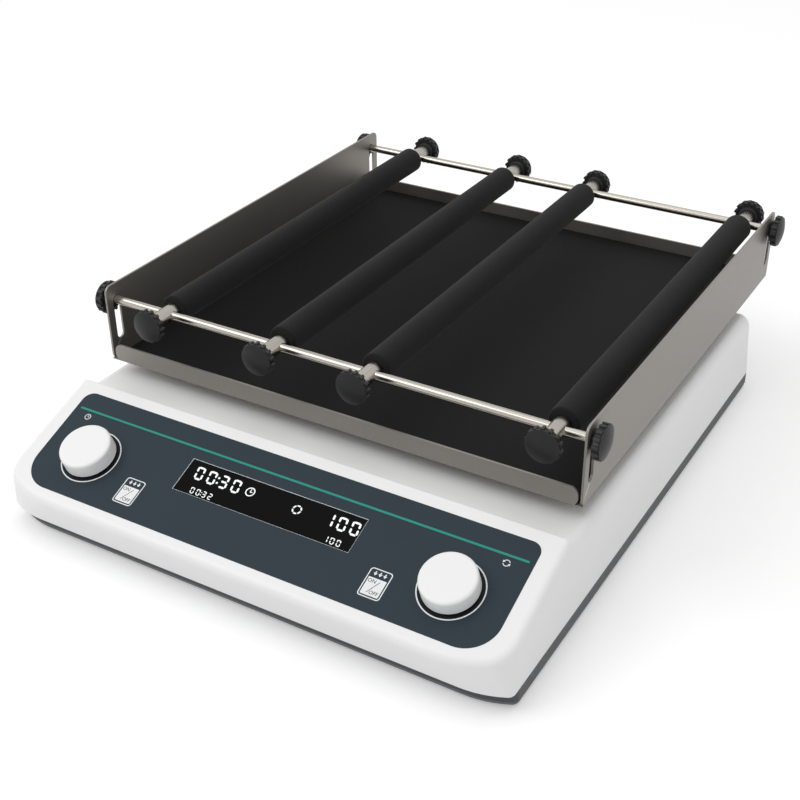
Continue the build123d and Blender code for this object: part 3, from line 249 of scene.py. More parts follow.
finishes = {
    "shellWhite": makeFinish(
        "shellWhite", "moulded", hexColour("#F1F1F1"),
        {"Tone": 0.008, "Grain Scale": 1600.0, "Roughness": 0.42, "Roughness Change": 0.06},
        bump=0.03, Specular_IOR_Level=0.4),
    "dialWhite": makeFinish(
        "dialWhite", "moulded", hexColour("#F3F3F3"),
        {"Tone": 0.008, "Grain Scale": 2200.0, "Roughness": 0.36, "Roughness Change": 0.05},
        bump=0.03, Specular_IOR_Level=0.4),
    "overlayFilm": makeFinish(
        "overlayFilm", "moulded", hexColour("#2C3840"),
        {"Tone": 0.015, "Grain Scale": 2600.0, "Roughness": 0.5, "Roughness Change": 0.1},
        bump=0.04, Specular_IOR_Level=0.15),
    "rimGrey": makeFinish(
        "rimGrey", "moulded", hexColour("#4C4F52"),
        {"Tone": 0.04, "Grain Scale": 1100.0, "Roughness": 0.5, "Roughness Change": 0.2},
        bump=0.12, Specular_IOR_Level=0.3),
    "plateGrey": makeFinish(
        "plateGrey", "moulded", hexColour("#6A6C6E"),
        {"Tone": 0.05, "Grain Scale": 900.0, "Roughness": 0.5, "Roughness Change": 0.2},
        bump=0.12, Metallic=0.2),
    "knobBlack": makeFinish(
        "knobBlack", "moulded", hexColour("#1F1F20"),
        {"Tone": 0.06, "Grain Scale": 1800.0, "Roughness": 0.42, "Roughness Change": 0.12},
        # the lighter edge colour is a painted highlight on the cap rims and teeth
        bump=0.06, edge={"colour": hexColour("#4C4C4E"), "start": 0.52, "end": 0.6},
        Specular_IOR_Level=0.25),
    "socketBlack": makeFinish(
        "socketBlack", "moulded", hexColour("#1C1C1E"),
        {"Tone": 0.05, "Grain Scale": 1600.0, "Roughness": 0.45, "Roughness Change": 0.1},
        bump=0.06, Specular_IOR_Level=0.3),
    "lensBlack": makeFinish(
        "lensBlack", "moulded", hexColour("#0C0C0D"),
        {"Tone": 0.02, "Grain Scale": 3000.0, "Roughness": 0.16, "Roughness Change": 0.03},
        bump=0.0, Specular_IOR_Level=0.05),
    "printWhite": makeFinish(
        "printWhite", "moulded", hexColour("#EDEFF0"),
        {"Tone": 0.01, "Grain Scale": 2600.0, "Roughness": 0.5, "Roughness Change": 0.05},
        bump=0.02, Specular_IOR_Level=0.2),
    "printTeal": makeFinish(
        "printTeal", "moulded", hexColour("#2A9082"),
        {"Tone": 0.02, "Grain Scale": 2600.0, "Roughness": 0.5, "Roughness Change": 0.05},
        bump=0.02, Specular_IOR_Level=0.2),
    "printBlack": makeFinish(
        "printBlack", "moulded", hexColour("#141618"),
        {"Tone": 0.02, "Grain Scale": 2600.0, "Roughness": 0.55, "Roughness Change": 0.05},
        bump=0.02, Specular_IOR_Level=0.15),
    "digitWhite": makeFinish(
        "digitWhite", "moulded", hexColour("#F2F4F4"),
        {"Tone": 0.01, "Grain Scale": 3000.0, "Roughness": 0.5, "Roughness Change": 0.02},
        bump=0.0, Emission_Color=(0.9, 0.95, 0.95, 1), Emission_Strength=0.25),
    "traySteel": makeFinish(
        "traySteel", "brushed", hexColour("#8C8882"),
        {"Stretch": (1500, 60, 1500), "Tone": 0.1, "Roughness": 0.42, "Roughness Change": 0.16},
        # the light edge colour is a painted highlight along the sheet's edges and bends
        bump=0.06, edge={"colour": hexColour("#D8D4CC"), "start": 0.55, "end": 0.66}, Metallic=0.7),
    "railSteel": makeFinish(
        "railSteel", "brushed", hexColour("#AFAAA2"),
        {"Stretch": (25, 900, 900), "Tone": 0.3, "Roughness": 0.22, "Roughness Change": 0.15},
        bump=0.03, Metallic=1.0),
    "barSteel": makeFinish(
        "barSteel", "brushed", hexColour("#ACA7A0"),
        {"Stretch": (900, 25, 900), "Tone": 0.35, "Roughness": 0.24, "Roughness Change": 0.18},
        bump=0.03, Metallic=1.0),
    "turnedSteel": makeFinish(
        "turnedSteel", "brushed", hexColour("#B9B7B3"),
        {"Stretch": (600, 600, 3000), "Tone": 0.1, "Roughness": 0.25, "Roughness Change": 0.12},
        bump=0.04, Metallic=1.0),
    "castAlloy": makeFinish(
        "castAlloy", "moulded", hexColour("#A9AAAB"),
        {"Tone": 0.06, "Grain Scale": 700.0, "Roughness": 0.5, "Roughness Change": 0.25},
        bump=0.25, Metallic=0.9),
    "castIron": makeFinish(
        "castIron", "moulded", hexColour("#4A4A4C"),
        {"Tone": 0.1, "Grain Scale": 600.0, "Roughness": 0.6, "Roughness Change": 0.25},
        bump=0.3, Metallic=0.6),
    "motorBlack": makeFinish(
        "motorBlack", "moulded", hexColour("#222326"),
        {"Tone": 0.06, "Grain Scale": 900.0, "Roughness": 0.45, "Roughness Change": 0.2},
        bump=0.12, Metallic=0.3),
    "boardGreen": makeFinish(
        "boardGreen", "moulded", hexColour("#1E5A34"),
        {"Tone": 0.12, "Grain Scale": 500.0, "Roughness": 0.4, "Roughness Change": 0.2},
        bump=0.1),
    "footRubber": makeFinish(
        "footRubber", "cells", hexColour("#1B1B1C"),
        {"Cell Scale": 1800.0, "Tone": 0.15, "Roughness": 0.75, "Dust": 0.12},
        bump=0.1, Specular_IOR_Level=0.25),
    "beltRubber": makeFinish(
        "beltRubber", "cells", hexColour("#161616"),
        {"Cell Scale": 1500.0, "Tone": 0.15, "Roughness": 0.7, "Dust": 0.15},
        bump=0.1, Specular_IOR_Level=0.25),
    "matRubber": makeFinish(
        "matRubber", "cells", hexColour("#141414"),
        {"Cell Scale": 1300.0, "Tone": 0.12, "Roughness": 0.7, "Dust": 0.03},
        bump=0.12, Specular_IOR_Level=0.15),
    "foamBlack": makeFinish(
        "foamBlack", "cells", hexColour("#1D1D1D"),
        {"Cell Scale": 1100.0, "Tone": 0.18, "Roughness": 0.85, "Dust": 0.05},
        bump=0.3, Specular_IOR_Level=0.1, Sheen_Weight=0.08),
}
print("stage: finishes made,", len(finishes))


# mesh building, all in mm until finishPiece
def axes(origin=(0, 0, 0), z=(0, 0, 1), x=(1, 0, 0)):
    up = Vector(z).normalized()
    side = (Vector(x) - up * Vector(x).dot(up)).normalized()
    return Matrix.Translation(origin) @ Matrix((side, up.cross(side), up)).transposed().to_4x4()


def circlePoints(radius, steps, centre=(0, 0), start=0.0, sweep=360.0):
    count = steps if sweep >= 360 else steps + 1
    turns = [math.radians(start + sweep * i / steps) for i in range(count)]
    return [(centre[0] + radius * math.cos(t), centre[1] + radius * math.sin(t)) for t in turns]


def roundCorners(points, radii, steps=5, closed=True):
    # swaps each corner that has a radius for an arc
    out, count = [], len(points)
    for i, (point, radius) in enumerate(zip(points, radii)):
        if radius <= 0 or (not closed and i in (0, count - 1)):
            out.append(tuple(point))
            continue
        here = Vector(point)
        back = (Vector(points[i - 1]) - here).normalized()
        ahead = (Vector(points[(i + 1) % count]) - here).normalized()
        half = back.angle(ahead) / 2
        centre = here + (back + ahead).normalized() * (radius / math.sin(half))
        first = here + back * (radius / math.tan(half)) - centre
        last = here + ahead * (radius / math.tan(half)) - centre
        turn = math.atan2(first.x * last.y - first.y * last.x, first.dot(last))
        for k in range(steps + 1):
            angle = turn * k / steps
            cosine, sine = math.cos(angle), math.sin(angle)
            out.append((centre.x + first.x * cosine - first.y * sine,
                        centre.y + first.x * sine + first.y * cosine))
    return out


def roundBox(width, height, radius, centre=(0, 0), steps=5):
    x, y = width / 2, height / 2
    corners = [(centre[0] + a, centre[1] + b) for a, b in ((-x, -y), (x, -y), (x, y), (-x, y))]
    return roundCorners(corners, [radius] * 4, steps)


def addSlab(bm, loops, low, high, place=Matrix()):
    # flat plate cut to the first loop, with the other loops as holes
    flat = [point for loop in loops for point in loop]
    bottom = [bm.verts.new(place @ Vector((x, y, low))) for x, y in flat]
    top = [bm.verts.new(place @ Vector((x, y, high))) for x, y in flat]
    for a, b, c in tessellate_polygon([[Vector((x, y, 0)) for x, y in loop] for loop in loops]):
        bm.faces.new((top[a], top[b], top[c]))
        bm.faces.new((bottom[c], bottom[b], bottom[a]))
    start = 0
    for loop in loops:
        count = len(loop)
        for i in range(count):
            a, b = start + i, start + (i + 1) % count
            bm.faces.new((bottom[a], bottom[b], top[b], top[a]))
        start += count


def addLathe(bm, profile, place=Matrix(), steps=48, wobble=None):
    # turns (radius, height) points about the place's z axis; a radius of 0 closes an end
    rings = []
    for radius, height in profile:
        if radius < 1e-6:
            rings.append([bm.verts.new(place @ Vector((0, 0, height)))])
            continue
        ring = []
        for i in range(steps):
            t = 2 * math.pi * i / steps
            r = radius + (wobble(t, height) if wobble else 0)
            ring.append(bm.verts.new(place @ Vector((r * math.cos(t), r * math.sin(t), height))))
        rings.append(ring)
    closed = rings[0][0] is not rings[-1][0] and len(rings[0]) > 1 and len(rings[-1]) > 1
    pairs = list(zip(rings, rings[1:])) + ([(rings[-1], rings[0])] if closed else [])
    for lower, upper in pairs:
        for i in range(steps):
            j = (i + 1) % steps
            if len(lower) == 1:
                bm.faces.new((lower[0], upper[j], upper[i]))
            elif len(upper) == 1:
                bm.faces.new((lower[i], lower[j], upper[0]))
            else:
                bm.faces.new((lower[i], lower[j], upper[j], upper[i]))


def softenEdges(piece, width, angle=35, segments=2, weld=False):
    if weld:
        join = piece.modifiers.new("joinCorners", "WELD")
        join.merge_threshold = 0.000005
    soft = piece.modifiers.new("softEdges", "BEVEL")
    soft.width = width / 1000
    soft.segments = segments
    soft.limit_method = "ANGLE"
    soft.angle_limit = math.radians(angle)
    soft.harden_normals = True


def finishPiece(name, bm, body, finish, stands=(), place=Matrix(), sharp=35, bevel=0.0):
    bmesh.ops.recalc_face_normals(bm, faces=bm.faces)
    bmesh.ops.scale(bm, vec=(0.001, 0.001, 0.001), verts=bm.verts)
    mesh = bpy.data.meshes.new(name)
    bm.to_mesh(mesh)
    bm.free()
    mesh.shade_smooth()
    mesh.set_sharp_from_angle(angle=math.radians(sharp))
    mesh.materials.append(finishes[finish])
    piece = bpy.data.objects.new(name, mesh)
    bpy.context.scene.collection.objects.link(piece)
    spot = place.copy()
    spot.translation = place.translation / 1000
    piece.matrix_world = spot
    if bevel:
        softenEdges(piece, bevel)
    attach(piece, body)
    if stands:
        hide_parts(*stands)
    return piece


def dressNode(name, finish, bevel=0.0):
    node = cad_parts[name]
    node.data.materials.clear()
    node.data.materials.append(finishes[finish])
    if bevel:
        softenEdges(node, bevel, angle=40, weld=True)


# CAD nodes that keep their own mesh
dressing = {
    "top_shell": "shellWhite",
    "panel_overlay": "overlayFilm",
    "display_module": "socketBlack",
    "control_board": "boardGreen",
    "power_board": "boardGreen",
    "base_pan": "rimGrey",
    "bottom_plate": "plateGrey",
    "drive_frame": "castAlloy",
    "frame_bearings": "turnedSteel",
    "frame_screws": "turnedSteel",
    "motor_body": "motorBlack",
    "drive_belt": "beltRubber",
    "shell_screws": "turnedSteel",
    "encoders": "turnedSteel",
    "mains_inlet": "socketBlack",
    "switch_frame": "socketBlack",
    "power_rocker": "socketBlack",
    "crank_shaft": "turnedSteel",
    "crank_pulley": "castAlloy",
    "counterweight": "castIron",
    "motor_shaft": "turnedSteel",
    "motor_pulley": "castAlloy",
    "carrier": "castAlloy",
    "carrier_bearings": "turnedSteel",
    "tray": "traySteel",
    "tray_screws": "turnedSteel",
    "front_rail": "railSteel",
    "back_rail": "railSteel",
    "encoder_plunger_left": "turnedSteel",
    "encoder_plunger_right": "turnedSteel",
    "encoder_shaft_left": "turnedSteel",
    "encoder_shaft_right": "turnedSteel",
}
for i in range(4):
    dressing[f"bar_core_{i + 1}"] = "barSteel"
for i in range(3):
    dressing[f"idler_crank_{i + 1}"] = "turnedSteel"
nodeEdges = {"tray": 0.25, "mains_inlet": 0.3, "switch_frame": 0.3, "bottom_plate": 0.2}
for name, finish in dressing.items():
    dressNode(name, finish, nodeEdges.get(name, 0.0))
print("stage: nodes dressed,", len(dressing))

# panel print: line, rings, push marks and pictograms, laid on the overlay
angle = math.radians(site["panelAngle"])
panelNormal = (0, -math.sin(angle), math.cos(angle))
panelPlace = axes((0, site["overlayTopY"], site["overlayTopZ"]), panelNormal)
printing = {
    "low": 0.10,  # the overlay's face is at 0.15
    "high": 0.19,
    "lineDrop": 13.7,
    "lineHalf": 166.0,
    "lineWidth": 1.5,
    "ringRadius": 20.4,
    "ringWidth": 0.8,
    "discRadius": 19.4,
    "markX": 90.4,
    "markTop": 49.6,
    "markSize": (14.7, 19.3),
    "labelDrop": 18.9,
    "labelX": (-156.0, 154.0),
}


def addText(bm, words, size, x, y, low, high, place):
    # generic words cut as flat shapes, by way of a text object
    curve = bpy.data.curves.new("words", "FONT")
    curve.body = words
    curve.size = size
    curve.align_x = "CENTER"
    curve.align_y = "CENTER"
    curve.extrude = (high - low) / 2
    curve.resolution_u = 3
    holder = bpy.data.objects.new("words", curve)
    mesh = bpy.data.meshes.new_from_object(holder)
    mesh.transform(place @ Matrix.Translation((x, y, (high + low) / 2)))
    bm.from_mesh(mesh)
    bpy.data.objects.remove(holder)
    bpy.data.curves.remove(curve)
    bpy.data.meshes.remove(mesh)


def ringLoops(centre, outer, width, steps=48):
    return [circlePoints(outer, steps, centre), circlePoints(outer - width, steps, centre)]


def addArc(bm, centre, radius, width, start, sweep, low, high, place):
    outer = circlePoints(radius + width / 2, 14, centre, start, sweep)
    inner = circlePoints(radius - width / 2, 14, centre, start, sweep)
    addSlab(bm, [outer + inner[::-1]], low, high, place)


low, high = printing["low"], printing["high"]
teal = bmesh.new()
half, drop, thick = printing["lineHalf"], printing["lineDrop"], printing["lineWidth"]
addSlab(teal, [roundBox(2 * half, thick, 0.7, (0, -drop))], low, high, panelPlace)
finishPiece("panelLine", teal, "housing", "printTeal")

black = bmesh.new()
white = bmesh.new()
markWidth, markHeight = printing["markSize"]
for side in (-1, 1):
    centre = (side * site["dialX"], -site["dialDrop"])
    # a black disc under each dial out to the white ring, darker than the overlay around it
    addSlab(black, [circlePoints(printing["discRadius"], 72, centre), circlePoints(5.2, 32, centre)],
            low, high - 0.02, panelPlace)
    ring = ringLoops(centre, printing["ringRadius"], printing["ringWidth"], 96)
    addSlab(white, ring, low, high, panelPlace)
    # push mark: a frame, a push sign in the upper strip, and the filled plate below it
    x, top = side * printing["markX"], -printing["markTop"]
    middle = (x, top - markHeight / 2)
    addSlab(white, [roundBox(markWidth, markHeight, 2.0, middle),
                    roundBox(markWidth - 1.3, markHeight - 1.3, 1.4, middle)], low, high, panelPlace)
    plateTop = top - 6.2
    plateLow = top - markHeight + 1.5
    plate = [(x - 5.9, plateLow), (x + 5.9, plateLow), (x + 5.9, plateTop), (x - 5.9, plateTop)]
    addSlab(white, [roundCorners(plate, [0.7, 0.7, 0.2, 0.2])], low, high, panelPlace)
    for shift in (-3.2, 0.0, 3.2):
        arrow = [(x + shift - 1.3, top - 3.0), (x + shift + 1.3, top - 3.0), (x + shift, top - 4.7)]
        stem = [(x + shift - 0.4, top - 3.1), (x + shift + 0.4, top - 3.1),
                (x + shift + 0.4, top - 1.8), (x + shift - 0.4, top - 1.8)]
        addSlab(white, [arrow], low, high, panelPlace)
        addSlab(white, [stem], low, high, panelPlace)
    addText(black, "ON", 3.4, x - 2.7, plateTop - 2.3, high - 0.03, high + 0.03, panelPlace)
    addText(black, "OFF", 3.4, x + 2.0, plateLow + 2.2, high - 0.03, high + 0.03, panelPlace)
    slash = [(x - 2.6, plateLow + 1.5), (x - 2.2, plateLow + 1.5),
             (x + 2.6, plateTop - 1.5), (x + 2.2, plateTop - 1.5)]
    addSlab(black, [slash], high - 0.03, high + 0.03, panelPlace)

# label of the left dial: a clock; of the right dial: a turning arrow
clockX, gaugeX = printing["labelX"]
labelY = -printing["labelDrop"]
addSlab(white, ringLoops((clockX, labelY), 2.3, 0.5, 32), low, high, panelPlace)
for right, upper in ((0.2, 1.5), (1.2, 0.2)):
    hand = [(clockX - 0.2, labelY - 0.2), (clockX + right, labelY - 0.2),
            (clockX + right, labelY + upper), (clockX - 0.2, labelY + upper)]
    addSlab(white, [hand], low, high, panelPlace)
for start in (20, 200):
    addArc(white, (gaugeX, labelY), 2.0, 0.5, start, 130, low, high, panelPlace)
    tip = math.radians(start + 130)
    hub = Vector((gaugeX + 2.0 * math.cos(tip), labelY + 2.0 * math.sin(tip)))
    ahead = Vector((-math.sin(tip), math.cos(tip)))
    out = Vector((math.cos(tip), math.sin(tip)))
    arrow = [tuple(hub - out * 0.9), tuple(hub + out * 0.9), tuple(hub + ahead * 1.4)]
    addSlab(white, [arrow], low, high, panelPlace)
finishPiece("panelMarksBlack", black, "housing", "printBlack")
finishPiece("panelMarksWhite", white, "housing", "printWhite")

# display: a lens a little below the overlay, a white ring on its cut edge as a painted highlight, and the
# figures
display = {
    "width": 129.8,
    "length": 24.8,
    "lensTop": -0.45,
    "slant": -0.15,
    "digitWidth": 0.63,
    "stroke": 0.14,
}
windowPlace = panelPlace @ Matrix.Translation((0, -site["windowDrop"], 0))
lens = bmesh.new()
addSlab(lens, [roundBox(display["width"], display["length"], 0.3)], -0.65, display["lensTop"], windowPlace)
finishPiece("displayLens", lens, "housing", "lensBlack", ["display_window"])
# white ring on the lens's cut edge: a painted highlight for the line of light along it
edgeHighlightRing = bmesh.new()
addSlab(edgeHighlightRing, [roundBox(display["width"] + 0.2, display["length"] + 0.2, 0.3),
                  roundBox(display["width"] - 0.1, display["length"] - 0.1, 0.2)], -0.6, 0.12, windowPlace)
finishPiece("displayEdgeHighlight", edgeHighlightRing, "housing", "printWhite")

segments = {
    "0": "abcdef", "1": "bc", "2": "abged", "3": "abgcd", "4": "fgbc",
    "5": "afgcd", "6": "afgedc", "7": "abc", "8": "abcdefg", "9": "abcdfg",
}


def addDigit(bm, digit, x, y, height, low, high, place):
    # one slanted seven-segment figure, with its lower left corner at x, y
    width, thick = height * display["digitWidth"], height * display["stroke"]
    gap = thick * 0.12
    across = [(thick * 0.55 + gap, 0), (thick + gap, thick / 2), (width - thick - gap, thick / 2),
              (width - thick * 0.55 - gap, 0), (width - thick - gap, -thick / 2), (thick + gap, -thick / 2)]
    tall = height / 2
    upright = [(0, thick * 0.55 + gap), (thick / 2, thick + gap), (thick / 2, tall - thick / 2 - gap),
               (0, tall - gap), (-thick / 2, tall - thick / 2 - gap), (-thick / 2, thick + gap)]
    spots = {
        "a": (across, 0, height - thick / 2), "g": (across, 0, height / 2), "d": (across, 0, thick / 2),
        "f": (upright, thick / 2, height / 2 - 0.1 * thick),
        "b": (upright, width - thick / 2, height / 2 - 0.1 * thick),
        "e": (upright, thick / 2, 0), "c": (upright, width - thick / 2, 0),
    }
    for key in segments[digit]:
        shape, dx, dy = spots[key]
        points = [(px + dx, py + dy) for px, py in shape]
        slanted = [(x + px + py * display["slant"], y + py) for px, py in points]
        addSlab(bm, [slanted], low, high, place)


def addFigures(bm, text, starts, drop, height, place):
    # figures at their own x places, standing on one line, with a colon as two dots
    low, high = display["lensTop"] - 0.02, display["lensTop"] + 0.02
    base = site["windowDrop"] - drop
    for mark, x in zip(text, starts):
        if mark != ":":
            addDigit(bm, mark, x, base, height, low, high, place)
            continue
        for rise in (0.28, 0.66):
            centre = (x + height * display["slant"] * rise, base + height * rise)
            addSlab(bm, [circlePoints(height * 0.08, 12, centre)], low, high, place)


figures = bmesh.new()
drop = site["windowDrop"]
addFigures(figures, "00:30", (-56.9, -47.5, -39.6, -38.2, -28.8), 35.2, 9.6, windowPlace)
addFigures(figures, "00:32", (-52.9, -48.4, -44.6, -43.9, -39.3), 45.3, 4.5, windowPlace)
addFigures(figures, "100", (39.9, 48.9, 57.9), 35.2, 9.6, windowPlace)
addFigures(figures, "100", (46.0, 50.4, 54.8), 45.2, 4.5, windowPlace)
lowFace, highFace = display["lensTop"] - 0.02, display["lensTop"] + 0.02
addSlab(figures, ringLoops((-15.6, drop - 30.6), 3.3, 0.75, 40), lowFace, highFace, windowPlace)
hand = [(-15.9, drop - 31.0), (-15.3, drop - 31.0), (-15.3, drop - 28.6), (-15.9, drop - 28.6)]
addSlab(figures, [hand], lowFace, highFace, windowPlace)
hand = [(-15.9, drop - 31.0), (-13.9, drop - 31.0), (-13.9, drop - 30.4), (-15.9, drop - 30.4)]
addSlab(figures, [hand], lowFace, highFace, windowPlace)
for k in range(6):
    addArc(figures, (19.4, drop - 31.3), 2.75, 0.95, 60 * k + 7, 46, lowFace, highFace, windowPlace)
finishPiece("displayFigures", figures, "housing", "digitWhite")
print("stage: panel printed")

# dials: a turned cap with a soft top edge and a slight dish
dial = {
    "radius": 17.5,
    "lift": 1.5,
    "height": 10.8,
    "wall": 2.0,
    "topEdge": 2.0,
    "draft": 0.15,
    "dish": 0.12,
}
for side, name in ((-1, "left"), (1, "right")):
    place = panelPlace @ Matrix.Translation((side * site["dialX"], -site["dialDrop"], 0))
    top = dial["lift"] + dial["height"]
    outline = [
        (0, top - dial["dish"]),
        (dial["radius"] * 0.45, top - dial["dish"] * 0.6),
        (dial["radius"] - dial["draft"], top),
        (dial["radius"], dial["lift"]),
        (dial["radius"] - dial["wall"], dial["lift"]),
        (dial["radius"] - dial["wall"], top - 2.5),
        (5.0, top - 2.5),
        (5.0, dial["lift"] + 4.2),
        (3.02, dial["lift"] + 4.2),
        (3.02, top - 2.5),
        (0, top - 2.5),
    ]
    radii = [0, 6, dial["topEdge"], 0.4, 0.3, 0.3, 0.3, 0.3, 0, 0, 0]
    profile = roundCorners(outline, radii, 8, closed=False)
    cap = bmesh.new()
    addLathe(cap, profile, steps=96)
    finishPiece(f"dialCap{name.capitalize()}", cap, f"dial_{name}", "dialWhite",
                [f"control_knob_{name}"], place)
print("stage: dials made")

# star knobs: notched grip with softened teeth, domed cap, back hub
star = {
    "teeth": 14,
    "tip": 11.4,
    "valley": 10.1,
    "toothShare": 0.42,
    "hub": 6.5,
    "hubLength": 2.6,
    "gripLength": 4.0,
    "capRadius": 10.8,
    "capRim": 0.8,
    "capHeight": 2.85,
}


def starMesh():
    bm = bmesh.new()
    pitch = 2 * math.pi / star["teeth"]
    loop, radii = [], []
    for i in range(star["teeth"]):
        middle = pitch * i
        half = pitch * star["toothShare"] / 2
        foot = half * star["tip"] / star["valley"] * 0.97
        for turn, radius, soft in (
            (-foot, star["valley"], 0.35), (-half, star["tip"], 0.45), (0, star["tip"] + 0.02, 0.0),
            (half, star["tip"], 0.45), (foot, star["valley"], 0.35),
        ):
            loop.append((radius * math.cos(middle + turn), radius * math.sin(middle + turn)))
            radii.append(soft)
    base = star["hubLength"]
    gripTop = base + star["gripLength"]
    addSlab(bm, [roundCorners(loop, radii, 3)], base, gripTop)
    outline = [(0, 0.0), (star["hub"], 0.0), (star["hub"] + 0.5, base), (0, base)]
    hub = roundCorners(outline, [0, 0.5, 0, 0], 3, closed=False)
    addLathe(bm, hub, steps=40)
    rim, rise, radius = star["capRim"], star["capHeight"] - star["capRim"], star["capRadius"]
    ball = (radius ** 2 + rise ** 2) / (2 * rise)
    centre = gripTop + rim + rise - ball
    spots = [radius * k / 9 for k in range(10)]
    dome = [(spot, centre + math.sqrt(ball ** 2 - spot ** 2)) for spot in spots]
    profile = [(0, gripTop - 0.4), (radius - 0.6, gripTop - 0.4), (radius, gripTop + 0.1)] + dome[::-1]
    addLathe(bm, profile, steps=64)
    return bm


for i, x in enumerate(site["barX"]):
    for end, way in (("front", -1), ("back", 1)):
        y = site["trayFront"] - site["barKnob"] if way < 0 else site["trayBack"] + site["barKnob"]
        place = axes((x, y, site["railHeight"]), (0, way, 0), (math.cos(0.7 * i), 0, math.sin(0.7 * i)))
        node = f"bar_{i + 1}_{end}_knob"
        finishPiece(f"starKnob{i + 1}{end.capitalize()}", starMesh(), node, "knobBlack",
                    [node], place, bevel=0.3)
for end, y in (("front", site["railFront"]), ("back", site["railBack"])):
    for side, way in (("left", -1), ("right", 1)):
        spot = (way * (site["trayHalf"] + site["railKnob"]), y, site["railHeight"])
        place = axes(spot, (way, 0, 0), (0, math.cos(0.3 * way), math.sin(0.3 * way)))
        node = f"{end}_{side}_rail_knob"
        finishPiece(f"railKnob{end.capitalize()}{side.capitalize()}", starMesh(), node, "knobBlack",
                    [node], place, bevel=0.3)
print("stage: star knobs made")

# foam tubes on the clamp bars: slightly uneven, with soft open ends
foam = {
    "radius": 10.0,
    "bore": 4.0,
    "start": 16.0,
    "endRound": 1.6,
    "uneven": 0.12,
    "rings": 70,
}
for i, x in enumerate(site["barX"]):
    length = site["trayBack"] - site["trayFront"] - 2 * foam["start"]
    edge = foam["endRound"]
    outline = [(foam["bore"], 0.4), (foam["radius"], 0), (foam["radius"], length),
               (foam["bore"], length - 0.4)]
    corners = roundCorners(outline, [0, edge, edge, 0], 6, closed=False)
    split = len(corners) // 2
    gaps = [(foam["radius"], edge + (length - 2 * edge) * k / foam["rings"]) for k in range(1, foam["rings"])]
    profile = corners[:split] + gaps + corners[split:]

    def uneven(turn, height, seed=i):
        if height < 0.3 or height > length - 0.3:
            return 0.0
        spot = Vector((math.cos(turn) * 1.2 + 7 * seed, math.sin(turn) * 1.2, height * 0.03))
        return foam["uneven"] * noise.noise(spot)

    tube = bmesh.new()
    addLathe(tube, profile, steps=56, wobble=uneven)
    place = axes((x, site["trayFront"] + foam["start"], site["railHeight"]), (0, 1, 0))
    piece = finishPiece(f"foamTube{i + 1}", tube, f"bar_{i + 1}", "foamBlack",
                        [f"foam_sleeve_{i + 1}"], place)
print("stage: foam tubes made")

# tray mat: a rubber sheet with rounded edges that lies almost flat
mat = {"gap": 1.8, "thick": 2.0, "corner": 2.5, "wave": 0.06}
width = 2 * (site["trayHalf"] - site["sheet"] - mat["gap"])
sheetBase = site["trayUnder"] + site["sheet"]
cover = bmesh.new()
rows, inset = 36, 0.35
centreY = (site["trayFront"] + site["trayBack"]) / 2
grid = [-width / 2 + width * k / rows for k in range(rows + 1)]
upper = [[cover.verts.new((
    x * (1 - 2 * inset / width), centreY + y * (1 - 2 * inset / width),
    sheetBase + mat["thick"] - mat["wave"] * (0.5 + noise.noise(Vector((x * 0.02, y * 0.02, 0.5)))),
)) for x in grid] for y in grid]
for j in range(rows):
    for k in range(rows):
        cover.faces.new((upper[j][k], upper[j][k + 1], upper[j + 1][k + 1], upper[j + 1][k]))
rim = [upper[0][k] for k in range(rows)] + [upper[j][rows] for j in range(rows)]
rim += [upper[rows][k] for k in range(rows, 0, -1)] + [upper[j][0] for j in range(rows, 0, -1)]
levels = [(1.0, 0.4), (1.0, 1.6), (0.998, 2.0)]
last = rim
for scale, fall in levels:
    ring = [cover.verts.new((v.co.x / (1 - 2 * inset / width) * scale,
                             centreY + (v.co.y - centreY) / (1 - 2 * inset / width) * scale,
                             sheetBase + mat["thick"] - fall)) for v in rim]
    for k in range(len(rim)):
        n = (k + 1) % len(rim)
        cover.faces.new((last[k], last[n], ring[n], ring[k]))
    last = ring
cover.faces.new(last)
finishPiece("matSheet", cover, "platform", "matRubber", ["tray_mat"], sharp=60)
print("stage: mat laid")

# rubber feet with a ring groove
foot = {
    "radius": 13.0,
    "height": 4.0,
    "grooveRadius": 9.0,
    "grooveWidth": 0.4,
    "recess": 0.35,
    "stem": 4.0,
    "stemTop": 8.4,
}
feet = bmesh.new()
nodeLow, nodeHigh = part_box("rubber_feet")
for cx in (nodeLow.x * 1000 + foot["radius"], nodeHigh.x * 1000 - foot["radius"]):
    for cy in (nodeLow.y * 1000 + foot["radius"], nodeHigh.y * 1000 - foot["radius"]):
        inner = foot["grooveRadius"] - 1.2
        outline = [
            (0, foot["recess"]), (inner, foot["recess"]), (inner + foot["grooveWidth"], 0.0),
            (foot["radius"], 0.0), (foot["radius"] - 0.2, foot["height"]), (foot["stem"], foot["height"]),
            (foot["stem"], foot["stemTop"]), (0, foot["stemTop"]),
        ]
        profile = roundCorners(outline, [0, 0.1, 0.2, 0.8, 0.3, 0.2, 0.6, 0], 4, False)
        addLathe(feet, profile, axes((cx, cy, 0)), steps=48)
finishPiece("rubberFeet", feet, "housing", "footRubber", ["rubber_feet"])
print("stage: feet made")

# studio: pale floor, soft lamps and the photo's camera
studio = {
    "floorTone": 0.86,
    "floorLift": 0.26,
    "worldTone": (1.0, 1.0, 1.0),
    "worldLevel": 0.66,
    "lens": 58.748,
    "cameraAzimuth": 30.8047,
    "cameraElevation": 31.4373,
    "cameraRoll": -0.5488,
    "cameraPlace": (398.63, -701.96, 520.76),
}


def seenDirectly(tree):
    # 1 where the camera, a reflection or clear material looks at the surface
    path = addNode(tree, "ShaderNodeLightPath")
    seen = mathNode(tree, "MAXIMUM", path.outputs["Is Camera Ray"], path.outputs["Is Glossy Ray"])
    return mathNode(tree, "MAXIMUM", seen, path.outputs["Is Transmission Ray"])


